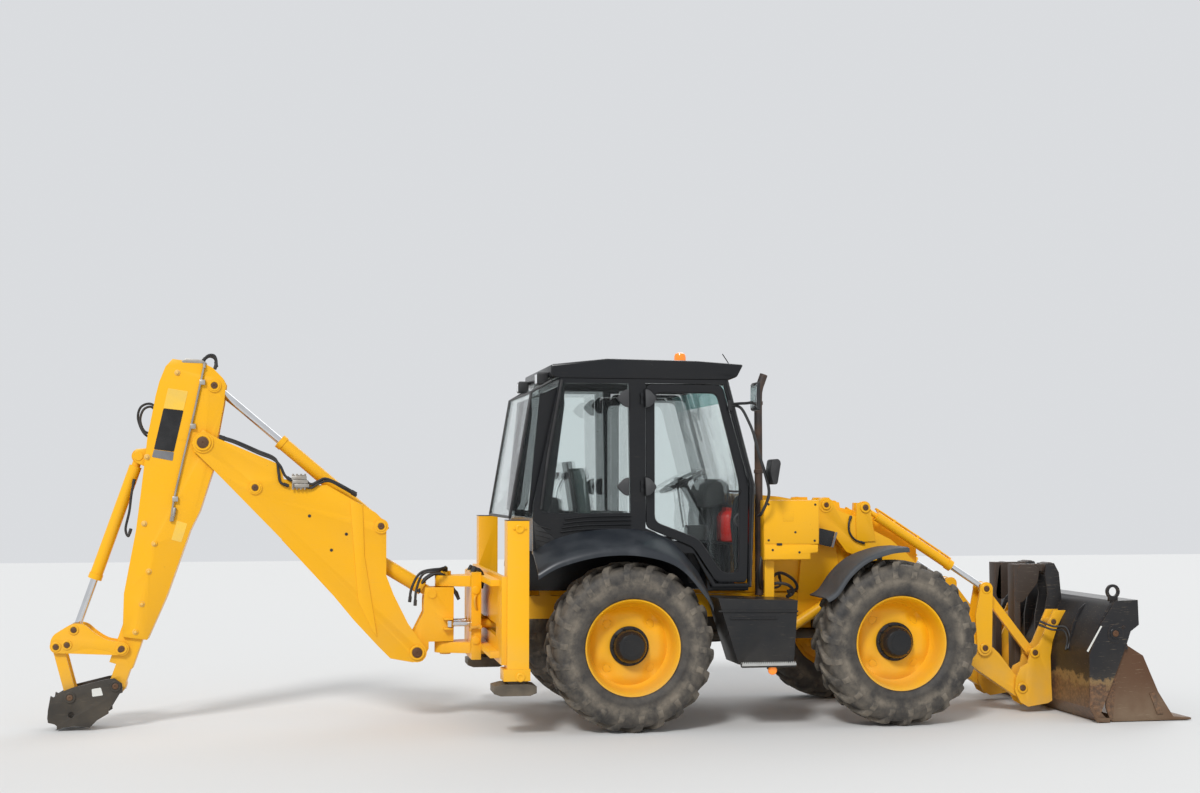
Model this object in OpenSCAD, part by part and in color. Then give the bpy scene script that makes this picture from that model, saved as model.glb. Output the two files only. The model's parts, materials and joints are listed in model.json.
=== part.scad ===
// Backhoe loader with four equal steered wheels, a split-jaw front bucket with
// folded forks, and a side-shift hoe that ends in a quick coupler.
// Millimetres. +X is forward, +Y is the left side, +Z is up, and the ground is Z = 0.
// Loader points are set out from the front axle, hoe points from the slewing axis,
// and everything else from the rear axle.

/* [Wheels and axles] */
// Distance between the front and the rear axle
wheelbase = 2220; // [2180:10:2280]
// Radius of the tyres over the lugs
tyre_r = 670; // [655:5:680]
// Width of the tyres over their side walls
tyre_w = 440; // [420:5:445]
// Radius of the rim flange
rim_r = 384; // [370:2:395]
// Lugs on each half of a tyre's tread
lug_count = 16; // [14:1:16]
// Height of a lug over the carcass
lug_h = 30; // [24:2:40]
// Thickness of a lug around the tyre
lug_t = 60; // [40:2:64]
// Slant of a lug from straight across
lug_slant = 36; // [20:2:44]
// Distance from the centre plane to the middle of a tyre
track_half = 900; // [896:2:910]
// Radius of the planetary hub
hub_r = 140; // [125:5:155]
// Depth of the axle beams
beam_h = 170; // [150:5:180]

/* [Chassis] */
// Distance from the centre plane to the outside of a chassis rail
rail_y = 330; // [320:2:334]
// Thickness of a chassis rail
rail_t = 60; // [40:5:70]
// Height of the rails' upper edge over the ground
rail_z1 = 1040; // [1020:5:1045]
// Half of the hood's width
hood_y = 290; // [270:5:292]
// Sheet thickness of the hood
skin_t = 20; // [12:2:24]

/* [Cab] */
// Half of the cab's width over its side panels
cab_y = 800; // [790:2:804]
// Thickness of the cab's walls and pillars
cab_wall = 50; // [40:5:55]
// Thickness of the window glass
glass_t = 6; // [5:1:8]
// Height of the roof's lower edge
roof_z = 2815; // [2800:5:2830]
// Gap around a door in its opening
door_gap = 8; // [6:1:12]

/* [Front loader] */
// Distance from the centre plane to the inside of a loader arm
arm_y0 = 345; // [344:1:348]
// Width of a loader arm
arm_w = 105; // [100:1:106]
// Radius of the loader's pins
pin_r = 32; // [28:1:34]
// Half of the front bucket's width
bucket_y = 1170; // [1100:10:1200]
// Plate thickness of the front bucket
bucket_t = 20; // [14:2:26]
// Length of a fork blade
fork_len = 900; // [800:10:950]
// Distance from the centre plane to the middle of a fork
fork_y = 200; // [160:10:210]

/* [Hoe] */
// Half of the boom's width
boom_y = 150; // [148:1:154]
// Plate thickness of the boom's sides
boom_t = 25; // [16:1:26]
// Half of the dipper's width
dipper_y = 110; // [108:1:114]
// Plate thickness of the dipper's sides
dipper_t = 20; // [16:1:22]
// Radius of the hoe's pins
hoe_pin_r = 36; // [32:1:38]
// Half of the coupler's width
coupler_y = 150; // [148:1:160]

/* [Stabilisers] */
// Distance from the centre plane to the outside of a leg casing
leg_y = 1170; // [1160:2:1180]
// Depth of a leg casing along the machine
leg_x = 170; // [160:2:180]
// Width of a leg casing across the machine
leg_w = 200; // [190:2:210]
// Wall thickness of a leg casing
leg_t = 14; // [10:1:18]

/* [Hidden] */
$fn = 48;

rear_axle_x = -80;
axle_z = tyre_r;
front_x = wheelbase;
post_x = -1390;
play = 0.6;
bite = 1;
slip = 0.3;

// Loader points, each [x, z] from the front axle and the ground
arm_pivot = [-430, 1785];
tilt_base = [-86, 1762];
lever_pivot = [970, 560];
lever_top = [992, 1064];
hitch_pivot = [1307, 215];
link_pin = [1425, 513];
lift_base = [-980, 600];
lift_eye = [70, 1250];
lift_eye_y = bucket_y - 70;
jaw_pin = [1815, 730];
hook_pin = [1598, 775];
fork_pin = [1675, 1220];
arm_y1 = arm_y0 + arm_w;
ram_y = (arm_y0 + arm_y1) / 2;
ear_t = 20;
ear_y0 = arm_y0 - 10 - ear_t;
ear_y1 = arm_y1 + 10;
tilt_link_y = arm_y0 + 25;
tilt_ram_y = arm_y1 - 25;

// Hoe points, each [x, z] from the slewing axis and the ground
boom_foot = [-244, 573];
boom_base = [-120, 1050];
boom_eye = [-1569, 1932];
dipper_base = [-547, 1614];
elbow = [-1988, 2298];
dipper_eye = [-1905, 2765];
coupler_base = [-2501, 2188];
lever_hinge = [-2604, 641];
lever_eye = [-2970, 797];
lever_pin = [-3104, 667];
tip_pin = [-2644, 348];
tip_link_pin = [-2993, 265];
lock_bore = [-2981, 127];
slew_ram = [150, 805];
slew_eye_x = 30;

// Shared forms
module plate(pts, y0, y1)
    translate([0, y1, 0])
        rotate([90, 0, 0])
            linear_extrude(height = y1 - y0)
                polygon(pts);

module block(x, y, z)
    translate([x[0], y[0], z[0]])
        cube([x[1] - x[0], y[1] - y[0], z[1] - z[0]]);

module rod_y(p, r, y0, y1)
    translate([p[0], y1, p[1]])
        rotate([90, 0, 0])
            cylinder(r = r, h = y1 - y0);

module rod_x(x0, x1, r)
    translate([x0, 0, 0])
        rotate([0, 90, 0])
            cylinder(r = r, h = x1 - x0);

module both() {
    children();
    mirror([0, 1, 0])
        children();
}

module at_front() translate([front_x, 0, 0]) children();
module at_post() translate([post_x, 0, 0]) children();

// Turns children drawn along +X so that they run from p towards q
module along(p, q, y = 0)
    translate([p[0], y, p[1]])
        rotate([0, -atan2(q[1] - p[1], q[0] - p[0]), 0])
            children();

function span(p, q) = norm([q[0] - p[0], q[1] - p[1]]);

// A flat bar with a boss at each end that stands a little proud of it
boss = 2;
module bar(p, q, w, y0, y1) {
    rod_y(p, w / 2, y0, y1);
    rod_y(q, w / 2, y0, y1);
    along(p, q, y0)
        block([0, span(p, q)], [boss, y1 - y0 - boss], [2 - w / 2, w / 2 - 2]);
}

// A ram's barrel from its base pin at p towards q
module barrel(p, q, y, r, len, rod, pin, eye_w, neck = 50)
    along(p, q, y)
        difference() {
            union() {
                rotate([90, 0, 0])
                    cylinder(r = pin + 22, h = eye_w, center = true);
                rod_x(0, pin + neck + 5, eye_w / 2);
                rod_x(pin + neck, len, r);
                rod_x(len - 45, len, r + 6);
            }
            rotate([90, 0, 0])
                cylinder(r = pin + play, h = 3 * eye_w, center = true);
            rod_x(pin + neck + 14, len + bite, rod + play);
        }

// A ram's rod from inside the barrel to its eye at q
module piston_rod(p, q, y, r, tail, pin, eye_w)
    along(p, q, y)
        difference() {
            union() {
                rod_x(tail, span(p, q), r);
                translate([span(p, q), 0, 0])
                    rotate([90, 0, 0])
                        cylinder(r = pin + 18, h = eye_w, center = true);
            }
            translate([span(p, q), 0, 0])
                rotate([90, 0, 0])
                    cylinder(r = pin, h = 3 * eye_w, center = true);
        }

// Wheels, drawn with the outside facing +Z and the hub at the origin
king_r = 28;
king_in = track_half - 740;
beam_half = 640;
fork_r = 56;
spindle_r = 70;
wheel_places = [["fl", 1, 1], ["fr", 1, -1], ["rl", 0, 1], ["rr", 0, -1]]; // name, front, side

module at_wheel(name)
    for (w = wheel_places)
        if (w[0] == name)
            translate([w[1] * front_x, w[2] * track_half, axle_z])
                rotate([-90 * w[2], 0, 0])
                    children();

// A tyre's body out to radius r
module tyre_body(r)
    rotate_extrude($fn = 24)
        polygon([
            [rim_r, -tyre_w / 2 + 40], [rim_r + 130, -tyre_w / 2], [r - 50, -tyre_w / 2 + 10],
            [r, -tyre_w / 2 + 66], [r, tyre_w / 2 - 66], [r - 50, tyre_w / 2 - 10],
            [rim_r + 130, tyre_w / 2], [rim_r, tyre_w / 2 - 40]]);

// The two halves' lugs are half a step apart
module tyre() {
    tyre_body(tyre_r - lug_h);
    intersection() {
        tyre_body(tyre_r);
        for (half = [-1, 1], i = [0:lug_count - 1])
            rotate([0, 0, (i + (half + 1) / 4) * 360 / lug_count])
                translate([tyre_r - lug_h / 2, 0, half * tyre_w / 4])
                    rotate([half * lug_slant, 0, 0])
                        cube([lug_h + 40, lug_t, tyre_w * 0.62], center = true);
    }
}

module rim()
    difference() {
        rotate_extrude($fn = 96)
            polygon([
                [spindle_r + play, -10], [240, -10], [290, -60],
                [rim_r - 60, -tyre_w / 2 + 70], [rim_r - 12, -tyre_w / 2 + 40],
                [rim_r, -tyre_w / 2 + 40], [rim_r, tyre_w / 2 - 40],
                [rim_r - 14, tyre_w / 2 - 40], [rim_r - 26, tyre_w / 2 - 64], [rim_r - 44, 40],
                [310, -20], [262, 10], [hub_r + 20, 14], [hub_r, 30], [hub_r, 130],
                [hub_r - 20, 150], [spindle_r + play, 150]]);
        for (a = [45:90:359])
            rotate([0, 0, a])
                translate([262, 0, 60])
                    rotate([0, 34, 0])
                        cylinder(r = 62, h = 110, center = true);
    }

module knuckle()
    difference() {
        union() {
            translate([0, 0, -13])
                cylinder(r = spindle_r, h = 153);
            translate([0, 0, -75])
                cylinder(r = 150, h = 45);
            translate([0, 0, -31])
                cylinder(r = 110, h = 19);
            translate([-62, -beam_h / 2 - 56, -king_in])
                cube([124, beam_h + 112, king_in - 70]);
            for (s = [-1, 1])
                translate([0, s * (beam_h / 2 + 31), -king_in])
                    rotate([90, 0, 0])
                        cylinder(r = 62, h = 50, center = true);
        }
        translate([0, 0, -king_in])
            rotate([90, 0, 0])
                cylinder(r = king_r + play, h = 3 * beam_h, center = true);
        translate([0, 0, -king_in])
            rotate([90, 0, 0])
                cylinder(r = fork_r + 18, h = beam_h + 12, center = true);
    }

module axles() color("#2c2c2c") {
    for (x = [0, front_x])
        translate([x, 0, axle_z]) {
            block([-55, 55], [-beam_half - 60, beam_half + 60], [-beam_h / 2, beam_h / 2]);
            rotate([90, 0, 0])
                cylinder(r = 185, h = 300, center = true);
            for (s = [-1, 1])
                translate([0, s * (track_half - king_in), 0]) {
                    cylinder(r = fork_r, h = beam_h, center = true);
                    cylinder(r = king_r, h = beam_h + 112, center = true);
                }
        }
    translate([180, 0, axle_z])
        rod_x(0, front_x - 360, 45);
}

// The front mudguards turn with the wheels, on a post that stands on the knuckle
guard_arc = [[-640, 1040], [-567, 1086], [-461, 1228], [-309, 1348], [-103, 1419], [60, 1436]];
guard_z0 = axle_z + beam_h / 2 + 56;
module mudguard()
    at_front() {
        plate(concat(guard_arc, [for (i = [len(guard_arc) - 1:-1:0]) guard_arc[i] + [-8, 14]]),
              662, 1120);
        block([-50, -10], [640, 665], [guard_z0, 1430]);
        block([-50, 40], [640, 740], [guard_z0, guard_z0 + 24]);
    }

// Chassis
rail_z0 = 850;
frame_x0 = -1010;
frame_x1 = front_x + 400;
hood_pin = [frame_x1 + 40, rail_z1 + 20];
tower = [[-650, rail_z1 - 60], [-580, 1700], [-500, 1847], [-360, 1847], [-340, 1700],
         [-250, rail_z1 - 60]];
module chassis() color("#f0b020") {
    both()
        block([frame_x0, frame_x1], [rail_y - rail_t, rail_y], [rail_z0, rail_z1]);
    for (x = [frame_x0, -60, 640, front_x - 60, frame_x1 - 90])
        block([x, x + 90], [-rail_y + rail_t - bite, rail_y - rail_t + bite],
              [rail_z0 + 15, rail_z1 - 20]);
    both()
        for (x = [0, front_x])
            block([x - 55, x + 55], [200, rail_y], [axle_z + beam_h / 2, rail_z0 + bite]);
    block([frame_x1 - bite, frame_x1 + 70], [-rail_y, rail_y], [rail_z1 - 80, rail_z1 - 10]);
    // Lugs and pins of the hood's hinge
    both() {
        rod_y(hood_pin, 14, 60, 80);
        block([hood_pin[0] - 10, hood_pin[0] + 10], [60, 80], [rail_z1 - 11, hood_pin[1]]);
        rod_y(hood_pin, 10, 79, 104);
    }
    // Cab mounts
    both()
        for (x = [-640, 560])
            block([x, x + 90], [rail_y - rail_t, rail_y], [rail_z1 - bite, 1090]);
    // Outriggers that carry the boxes beside the hood
    both() {
        block([1180, 1260], [rail_y - bite, 701], [rail_z1 - 60, rail_z1]);
        block([1180, 1260], [671, 701], [rail_z1 - bite, 1338]);
    }
    at_front()
        both() {
            plate(tower, rail_y - 30, arm_y0 - 10);
            rod_y(arm_pivot, pin_r, rail_y - 30, arm_y1 + 14);
            plate([[lift_base[0] - 75, rail_z0 + bite], [lift_base[0] - 60, lift_base[1] - 50],
                   [lift_base[0] + 60, lift_base[1] - 50], [lift_base[0] + 75, rail_z0 + bite]],
                  rail_y - 30, rail_y);
            rod_y(lift_base, pin_r, rail_y - 30, arm_y1 - 10);
        }
}

module engine() color("#3c4038")
    at_front()
        block([-560, 280], [-230, 230], [rail_z1 - 20, 1500]);

hood_side = [[1130, rail_z1 + 12], [1130, 1880], [1420, 1856], [front_x + 150, 1690],
             [front_x + 330, 1590], [front_x + 432, 1440], [front_x + 432, rail_z1 + 12]];
module hood() color("#f4bc20")
    difference() {
        union() {
            plate(hood_side, -hood_y, hood_y);
            both()
                rod_y(hood_pin, 20, 84, 104);
        }
        both() {
            rod_y(hood_pin, 10 + play, 83, 105);
            block([front_x + 400, front_x + 440], [50, 84], [rail_z1, rail_z1 + 45]);
        }
        plate([[1129, rail_z1], [1129, 1880 - skin_t], [1420, 1856 - skin_t],
               [front_x + 144, 1690 - skin_t], [front_x + 318, 1590 - skin_t],
               [front_x + 412, 1440 - skin_t / 2], [front_x + 412, rail_z1]],
              -hood_y + skin_t, hood_y - skin_t);
        // Air slots in the front panel
        for (z = [rail_z1 + 90:60:1380])
            block([front_x + 400, front_x + 440], [-hood_y + 50, hood_y - 50], [z, z + 30]);
    }

module side_boxes() color("#f8c424")
    both()
        plate([[1153, 1829], [1630, 1829], [1624, 1465], [1552, 1460], [1552, 1338], [1153, 1338]],
              670, cab_y - 20);

module step_boxes() color("#242424")
    both() {
        plate([[684, 1053], [1342, 1030], [1308, 546], [850, 527]], 701, 1100);
        // Tread of the step and its two hangers
        block([866, 1308], [1101, 1150], [505, 535]);
        block([890, 930], [1060, 1110], [520, 540]);
        block([1240, 1280], [1060, 1110], [520, 550]);
    }

fender_top = [[-762, 1424], [-580, 1522], [-256, 1599], [72, 1597], [361, 1505], [568, 1281],
              [640, 1159]];
function lowered(pts, d) = concat(pts, [for (i = [len(pts) - 1:-1:0]) pts[i] - [0, d]]);
module fenders() color("#3a4046")
    both()
        multmatrix([[1, 0, 0, 0], [0, 1, 0, 0], [0, -0.5, 1, 0.5 * cab_y], [0, 0, 0, 1]]) {
            plate(lowered(fender_top, 18), cab_y, 1130);
            plate(lowered(fender_top, 45), 1118, 1130);
        }

// Cab
cab_z0 = 1090;
module cab_tub() color("#2a2c2e") {
    block([-740, 1030], [-450, 450], [cab_z0, cab_z0 + 30]);
    both() {
        block([700 - bite, 1030], [450 - bite, cab_y - cab_wall], [cab_z0, cab_z0 + 30]);
        block([-740, 700], [450 - bite, 470], [cab_z0, 1500]);
        block([-740, 700], [450 - bite, cab_y - cab_wall], [1480, 1500]);
        block([680, 700], [450 - bite, cab_y - cab_wall], [cab_z0, 1500]);
    }
    block([-760, -740 + bite], [-cab_y + cab_wall, cab_y - cab_wall], [1420, 1690]);
    block([-760, -740 + bite], [-470, 470], [cab_z0, 1421]);
    // Seat box and dashboard
    block([-250, 100], [-170, 170], [cab_z0 + 29, 1480]);
    plate([[880, cab_z0 + 29], [820, 1760], [980, 1820], [1020, 1760], [1020, cab_z0 + 29]],
          -330, 330);
}

cab_side = [[-761, 1400], [-761, 1788], [-544, roof_z - 2], [850, roof_z - 2], [1074, 1948],
            [1040, cab_z0 + 31], [715, cab_z0 + 31], [560, 1400]];
hinge = [122, 830];
hinge_z = [1944, 2653];
rear_window = [[-689, 1727], [-523, 2775], [17, 2775], [33, 1727]];
door_hole = [[158, 2780], [815, 2780], [1030, 1960], [1015, 1150], [740, 1150], [545, 1440],
             [158, 1600]];
module cab_frame() color("#1c1e20") {
    both()
        difference() {
            plate(cab_side, cab_y - cab_wall, cab_y);
            plate(rear_window, cab_y - cab_wall - bite, cab_y + bite);
            plate(door_hole, cab_y - cab_wall - bite, cab_y + bite);
        }
    // Pins that the doors hang on
    both()
        for (z = hinge_z) {
            translate([hinge[0], hinge[1], z - 45])
                cylinder(r = 8, h = 90);
            for (dz = [-45, 17])
                block([hinge[0] - 10, hinge[0] + 10], [cab_y - bite, hinge[1] + 9], [z + dz, z + dz + 28]);
        }
    // Cross members between the two sides
    block([-545, -495], [-cab_y + cab_wall - bite, cab_y - cab_wall + bite],
          [roof_z - 60, roof_z - 2]);
    block([800, 846], [-cab_y + cab_wall - bite, cab_y - cab_wall + bite],
          [roof_z - 42, roof_z - 2]);
}

roof_x0 = -617;
module cab_roof() color("#202224")
    difference() {
        plate([[roof_x0, 2830], [roof_x0, 2925], [-157, 2978], [600, 2968], [984, 2943], [930, 2840],
               [860, roof_z - 2], [-560, roof_z - 2]], -cab_y, cab_y);
        plate([[-560, roof_z - 3], [-560, 2890], [-157, 2940], [600, 2930], [830, 2900],
               [830, roof_z - 3]], -cab_y + 40, cab_y - 40);
    }

glass_in = cab_y - 30;
module cab_glass() color("#9fb8b8", 0.4) {
    both()
        plate(rear_window, glass_in, glass_in + glass_t);
    // Windscreen
    plate([[850, roof_z - 2], [850 + glass_t, roof_z - 2], [1074 + glass_t, 1948],
           [1048 + glass_t, 1300], [1048, 1300], [1074, 1948]],
          -cab_y + 10, cab_y - 10);
    // Rear window that bulges behind the frame, with its side panes
    plate([[-600, roof_z - 8], [-762, 2708], [-935, 1690], [-935 + glass_t, 1690],
           [-762 + glass_t, 2704], [-600 + glass_t, roof_z - 14]], -720, 720);
    both()
        plate([[-600, roof_z - 8], [-762, 2708], [-935, 1690], [-755, 1690], [-755, 1790],
               [-552, roof_z - 8]], 720 - glass_t, 720);
}

door_out = [[158 + door_gap, 2780 - door_gap], [812 - door_gap, 2780 - door_gap],
            [1030 - door_gap, 1960], [1015 - door_gap, 1150 + door_gap],
            [742 + door_gap, 1150 + door_gap], [550 + door_gap, 1440 + door_gap],
            [158 + door_gap, 1600 + door_gap]];
door_in = [[230, 2710], [760, 2710], [950, 1960], [940, 1230], [790, 1230], [600, 1510],
           [230, 1650]];
module door() {
    difference() {
        plate(door_out, cab_y - cab_wall + 5, cab_y - 5);
        plate(door_in, cab_y - cab_wall, cab_y);
    }
    plate(door_in, cab_y - 25 - glass_t, cab_y - 25);
    for (z = hinge_z)
        difference() {
            union() {
                translate([hinge[0], hinge[1], z - 14])
                    cylinder(r = 14, h = 28);
                block([hinge[0], 215], [hinge[1] - 8, hinge[1] + 8], [z - 14, z + 14]);
                block([180, 215], [cab_y - 6, hinge[1]], [z - 14, z + 14]);
            }
            translate([hinge[0], hinge[1], z - 20])
                cylinder(r = 8 + play, h = 40);
        }
}

module seat() color("#5c6a66") {
    block([-300, 200], [-240, 240], [1480 + slip, 1600]);
    plate([[-300, 1590], [-380, 2150], [-290, 2160], [-190, 1590]], -230, 230);
}

module exhaust() color("#4a3c30")
    translate([1160, -600, 0]) {
        translate([0, 0, rail_z1])
            cylinder(r = 34, h = 1720);
        translate([0, 0, 2750])
            rotate([0, 20, 0])
                cylinder(r = 34, h = 150);
    }

module cab_fittings() color("#202020") {
    both() {
        block([940, 1030], [930, 1150], [2540, 2790]);
        block([862, 941], [cab_y, 945], [2600, 2630]);
        block([862, 884], [cab_y, cab_y + 14], [2560, 2650]);
        // Rear work lamps on their arms
        block([-790, -700], [540, 660], [2760, 2870]);
        block([-701, roof_x0], [585, 615], [2840, 2870]);
    }
    translate([515, -500, 2970])
        cylinder(r = 60, h = 90);
}

// Loader
arm_side = [
    [-520, 1540], [-520, 1735], [-480, 1810], [-430, 1850], [-375, 1825], [-340, 1745], [-216, 1701],
    [-145, 1682], [-11, 1568], [149, 1487], [298, 1361], [965, 645], [1110, 510], [1250, 330],
    [1375, 262], [1385, 190], [1320, 130], [1264, 138], [919, 367], [760, 490], [-37, 1299],
    [-130, 1345], [-251, 1388], [-337, 1502]];
bracket_side = [[-168, 1640], [-160, 1803], [-49, 1800], [4, 1477], [-163, 1471]];
module loader_arms() color("#f4bc20")
    at_front() {
        both()
            difference() {
                union() {
                    plate(arm_side, arm_y0, arm_y1);
                    rod_y(arm_pivot, pin_r + 30, arm_y0, arm_y1 + 6);
                    // Cheeks on both sides of the lift ram's rod
                    for (y = [arm_y0, arm_y1 - 18])
                        plate([[-60, 1330], [-20, 1190], [60, 1160], [150, 1190], [190, 1100]],
                              y, y + 18);
                    plate(bracket_side, arm_y0, arm_y1 + 14);
                    rod_y(lever_pivot, pin_r, ear_y0 - 8, ear_y1 + ear_t + 8);
                    rod_y(hitch_pivot, pin_r, ear_y0 - 8, ear_y1 + ear_t + 8);
                }
                rod_y(arm_pivot, pin_r + play, arm_y0 - bite, arm_y1 + 30);
                // Room for the lift ram's eye and rod
                plate([[-420, 1300], [-200, 1415], [70, 1360], [230, 1330], [240, 1100],
                       [-60, 1000]], arm_y0 + 18, arm_y1 - 18);
                // Room for the tilt ram's barrel at its base
                plate([[-150, 1690], [-190, 1840], [60, 1840], [60, 1600], [-60, 1680]],
                      tilt_ram_y - 27, tilt_ram_y + 26);
            }
        both()
            rod_y(tilt_base, pin_r, arm_y0 + 5, arm_y1 + 24);
        rod_y([740, 640], 70, -arm_y0 - bite, arm_y0 + bite);
    }

module lift_barrels() color("#e8b020")
    at_front() both()
        barrel(lift_base, lift_eye, ram_y, 45, 1010, 28, pin_r, 60);
module lift_rods() color("#d0d4d8")
    at_front() both()
        piston_rod(lift_base, lift_eye, ram_y, 28, 200, pin_r, 46);
module tilt_barrels() color("#e8b020")
    at_front() both()
        barrel(tilt_base, lever_top, tilt_ram_y, 42, 927, 26, pin_r, 44, 100);
module tilt_rods() color("#d0d4d8")
    at_front() both()
        piston_rod(tilt_base, lever_top, tilt_ram_y, 26, 400, pin_r, 46);

module tilt_levers() color("#f4bc20")
    at_front() both()
        for (y = [ear_y0, ear_y1])
            difference() {
                union() {
                    plate([[935, 1050], [890, 830], [905, 560], [1035, 560], [1042, 800],
                           [1048, 1050]], y, y + ear_t);
                    rod_y(lever_top, 57, y, y + ear_t);
                    rod_y(lever_pivot, 66, y, y + ear_t);
                }
                rod_y(lever_pivot, pin_r + play, y - bite, y + ear_t + bite);
            }

module tilt_links() color("#f4bc20")
    at_front() both()
        difference() {
            bar(lever_top, link_pin, 76, tilt_link_y - 22, tilt_link_y + 22);
            rod_y(lever_top, pin_r, arm_y0 - 20, arm_y1 + 20);
            rod_y(link_pin, pin_r + play, arm_y0 - 20, arm_y1 + 20);
        }

module hitch() color("#f4bc20")
    at_front() {
        both() {
            for (y = [ear_y0, ear_y1])
                difference() {
                    plate([[1604, 873], [1716, 871], [1679, 810], [1640, 740], [1590, 600], [1570, 480],
                           [1574, 248], [1580, 100], [1543, 79], [1360, 51], [1290, 90],
                           [1240, 190], [1250, 290], [1294, 387], [1360, 420], [1385, 520],
                           [1470, 590]], y, y + ear_t);
                    rod_y(hitch_pivot, pin_r + play, y - bite, y + ear_t + bite);
                }
            rod_y(link_pin, pin_r, ear_y0 - 8, ear_y1 + ear_t + 8);
            rod_y(hook_pin, pin_r, ear_y0 - 8, ear_y1 + ear_t + 8);
        }
        block([1540, 1570 + bite], [-ear_y0 - bite, ear_y0 + bite], [330, 520]);
    }

bucket_end = [[1825, 997], [2023, 1003], [2029, 798], [1955, 745], [1914, 630], [1682, 86],
              [1757, 4], [1640, 12], [1585, 130], [1585, 560], [1700, 820]];
module bucket_back() color("#2c2c2c")
    at_front() {
        both() {
            plate(bucket_end, bucket_y - bucket_t, bucket_y);
            rod_y(jaw_pin, pin_r, bucket_y - 3 * bucket_t, bucket_y + 8);
        }
        // Mouldboard
        plate([[1825, 997], [2023, 1003], [2023, 970], [1850, 955], [1700, 780], [1625, 560],
               [1625, 140], [1700, 60], [1757, 4], [1680, 4], [1600, 120], [1600, 590],
               [1680, 810], [1765, 950]],
              -bucket_y + bucket_t - bite, bucket_y - bucket_t + bite);
        // Carriers of the fork shaft
        both()
            for (y = [fork_y - 100, fork_y + 80])
                plate([[1760, 940], [1765, 960], [1745, 1187], [1700, 1270], [1630, 1265],
                       [1610, 1180], [1640, 1000], [1600, 800], [1600, 590], [1680, 800]],
                      y, y + 20);
        both()
            rod_y(fork_pin, pin_r, fork_y - 100, fork_y + 100);
        // Lifting eyes
        both() translate([1835, lift_eye_y, 1070])
            difference() {
                union() {
                    rod_y([0, 0], 60, -12, 12);
                    block([-40, 40], [-12, 12], [-80, 0]);
                }
                rod_y([0, 0], 37, -20, 20);
            }
    }

module bucket_jaw() color("#5c3c28")
    at_front() {
        both()
            difference() {
                plate([[1800, 690], [1780, 760], [1815, 790], [1870, 780], [1940, 625],
                       [2074, 542], [2204, 244], [2336, 36], [2496, 23], [2496, 8], [1790, 6],
                       [1800, 60], [1850, 560]], bucket_y - 2 * bucket_t - 4, bucket_y - bucket_t - 4);
                rod_y(jaw_pin, pin_r + play, bucket_y - 3 * bucket_t, bucket_y + bite);
            }
        plate([[1790, 6], [2496, 8], [2496, 23], [1830, 36], [1800, 60]],
              -bucket_y + 2 * bucket_t + 3, bucket_y - 2 * bucket_t - 3);
    }

module forks() color("#3c3028")
    at_front() both()
        difference() {
            union() {
                block([1340, 1395], [fork_y - 65, fork_y + 65], [1240 - fork_len, 1260]);
                block([1340, fork_pin[0]], [fork_y - 40, fork_y + 40], [1200, 1260]);
                rod_y(fork_pin, 56, fork_y - 70, fork_y + 70);
            }
            rod_y(fork_pin, pin_r + play, fork_y - 80, fork_y + 80);
        }

// Hoe
leg_in = leg_t + 6;
module rear_frame() color("#f0b020") {
    difference() {
        block([-1050, frame_x0], [-leg_y + leg_w - bite, leg_y - leg_w + bite], [560, 1240]);
        // Slot that the slewing rams pass through
        block([-1060, frame_x0 + bite], [-745, 745], [slew_ram[1] - 55, slew_ram[1] + 44]);
    }
    for (z = [600, 1160])
        block([-1120, -1050 + bite], [-leg_y + leg_w - bite, leg_y - leg_w + bite], [z, z + 50]);
    both() {
        difference() {
            union() {
                block([-1010, -1010 + leg_x], [leg_y - leg_w, leg_y], [440, 1675]);
                block([-1038, -1038 + leg_x + 38], [leg_y - leg_w - 20, leg_y + 10], [440, 531]);
            }
            block([-1010 + leg_t, -1010 + leg_x - leg_t], [leg_y - leg_w + leg_t, leg_y - leg_t],
                  [524, 1655]);
            // Runner at the casing's mouth
            block([-1010 + leg_in - play, -1010 + leg_x - leg_in + play],
                  [leg_y - leg_w + leg_in - play, leg_y - leg_in + play], [439, 525]);
        }
        block([-1050, -1009], [leg_y - leg_w - bite, leg_y - 40], [560, 1240]);
    }
}

module leg() color("#303234") {
    block([-1010 + leg_in, -1010 + leg_x - leg_in], [leg_y - leg_w + leg_in, leg_y - leg_in],
          [416, 1640]);
    plate([[-1112, 346], [-1060, 327], [-830, 327], [-780, 346], [-780, 400], [-850, 417],
           [-1040, 417], [-1112, 400]], leg_y - leg_w - 60, leg_y + 10);
}

module carriage() color("#2c2c2c")
    at_post()
        difference() {
            union() {
                block([190, 270 - slip], [-300, 300], [520, 1235]);
                for (z = [560, 1110])
                    translate([0, 0, z]) {
                        linear_extrude(height = 90)
                            polygon([[191, -170], [191, 170], [0, 90], [0, -90]]);
                        cylinder(r = 90, h = 90);
                    }
                both()
                    translate([0, slew_ram[0], slew_ram[1]])
                        rod_x(264, 530, 36);
            }
            translate([0, 0, 500])
                cylinder(r = 45 + play, h = 900);
            both()
                translate([0, slew_ram[0], slew_ram[1]]) {
                    rod_x(180, 520, 22 + play);
                    rod_x(180, 222, 42);
                }
        }

module slew_rod() color("#d0d4d8")
    at_post()
        translate([0, slew_ram[0], slew_ram[1]]) {
            rod_x(slew_eye_x, 360, 22);
            translate([slew_eye_x, 0, 0])
                cylinder(r = 30, h = 50, center = true);
        }

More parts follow.
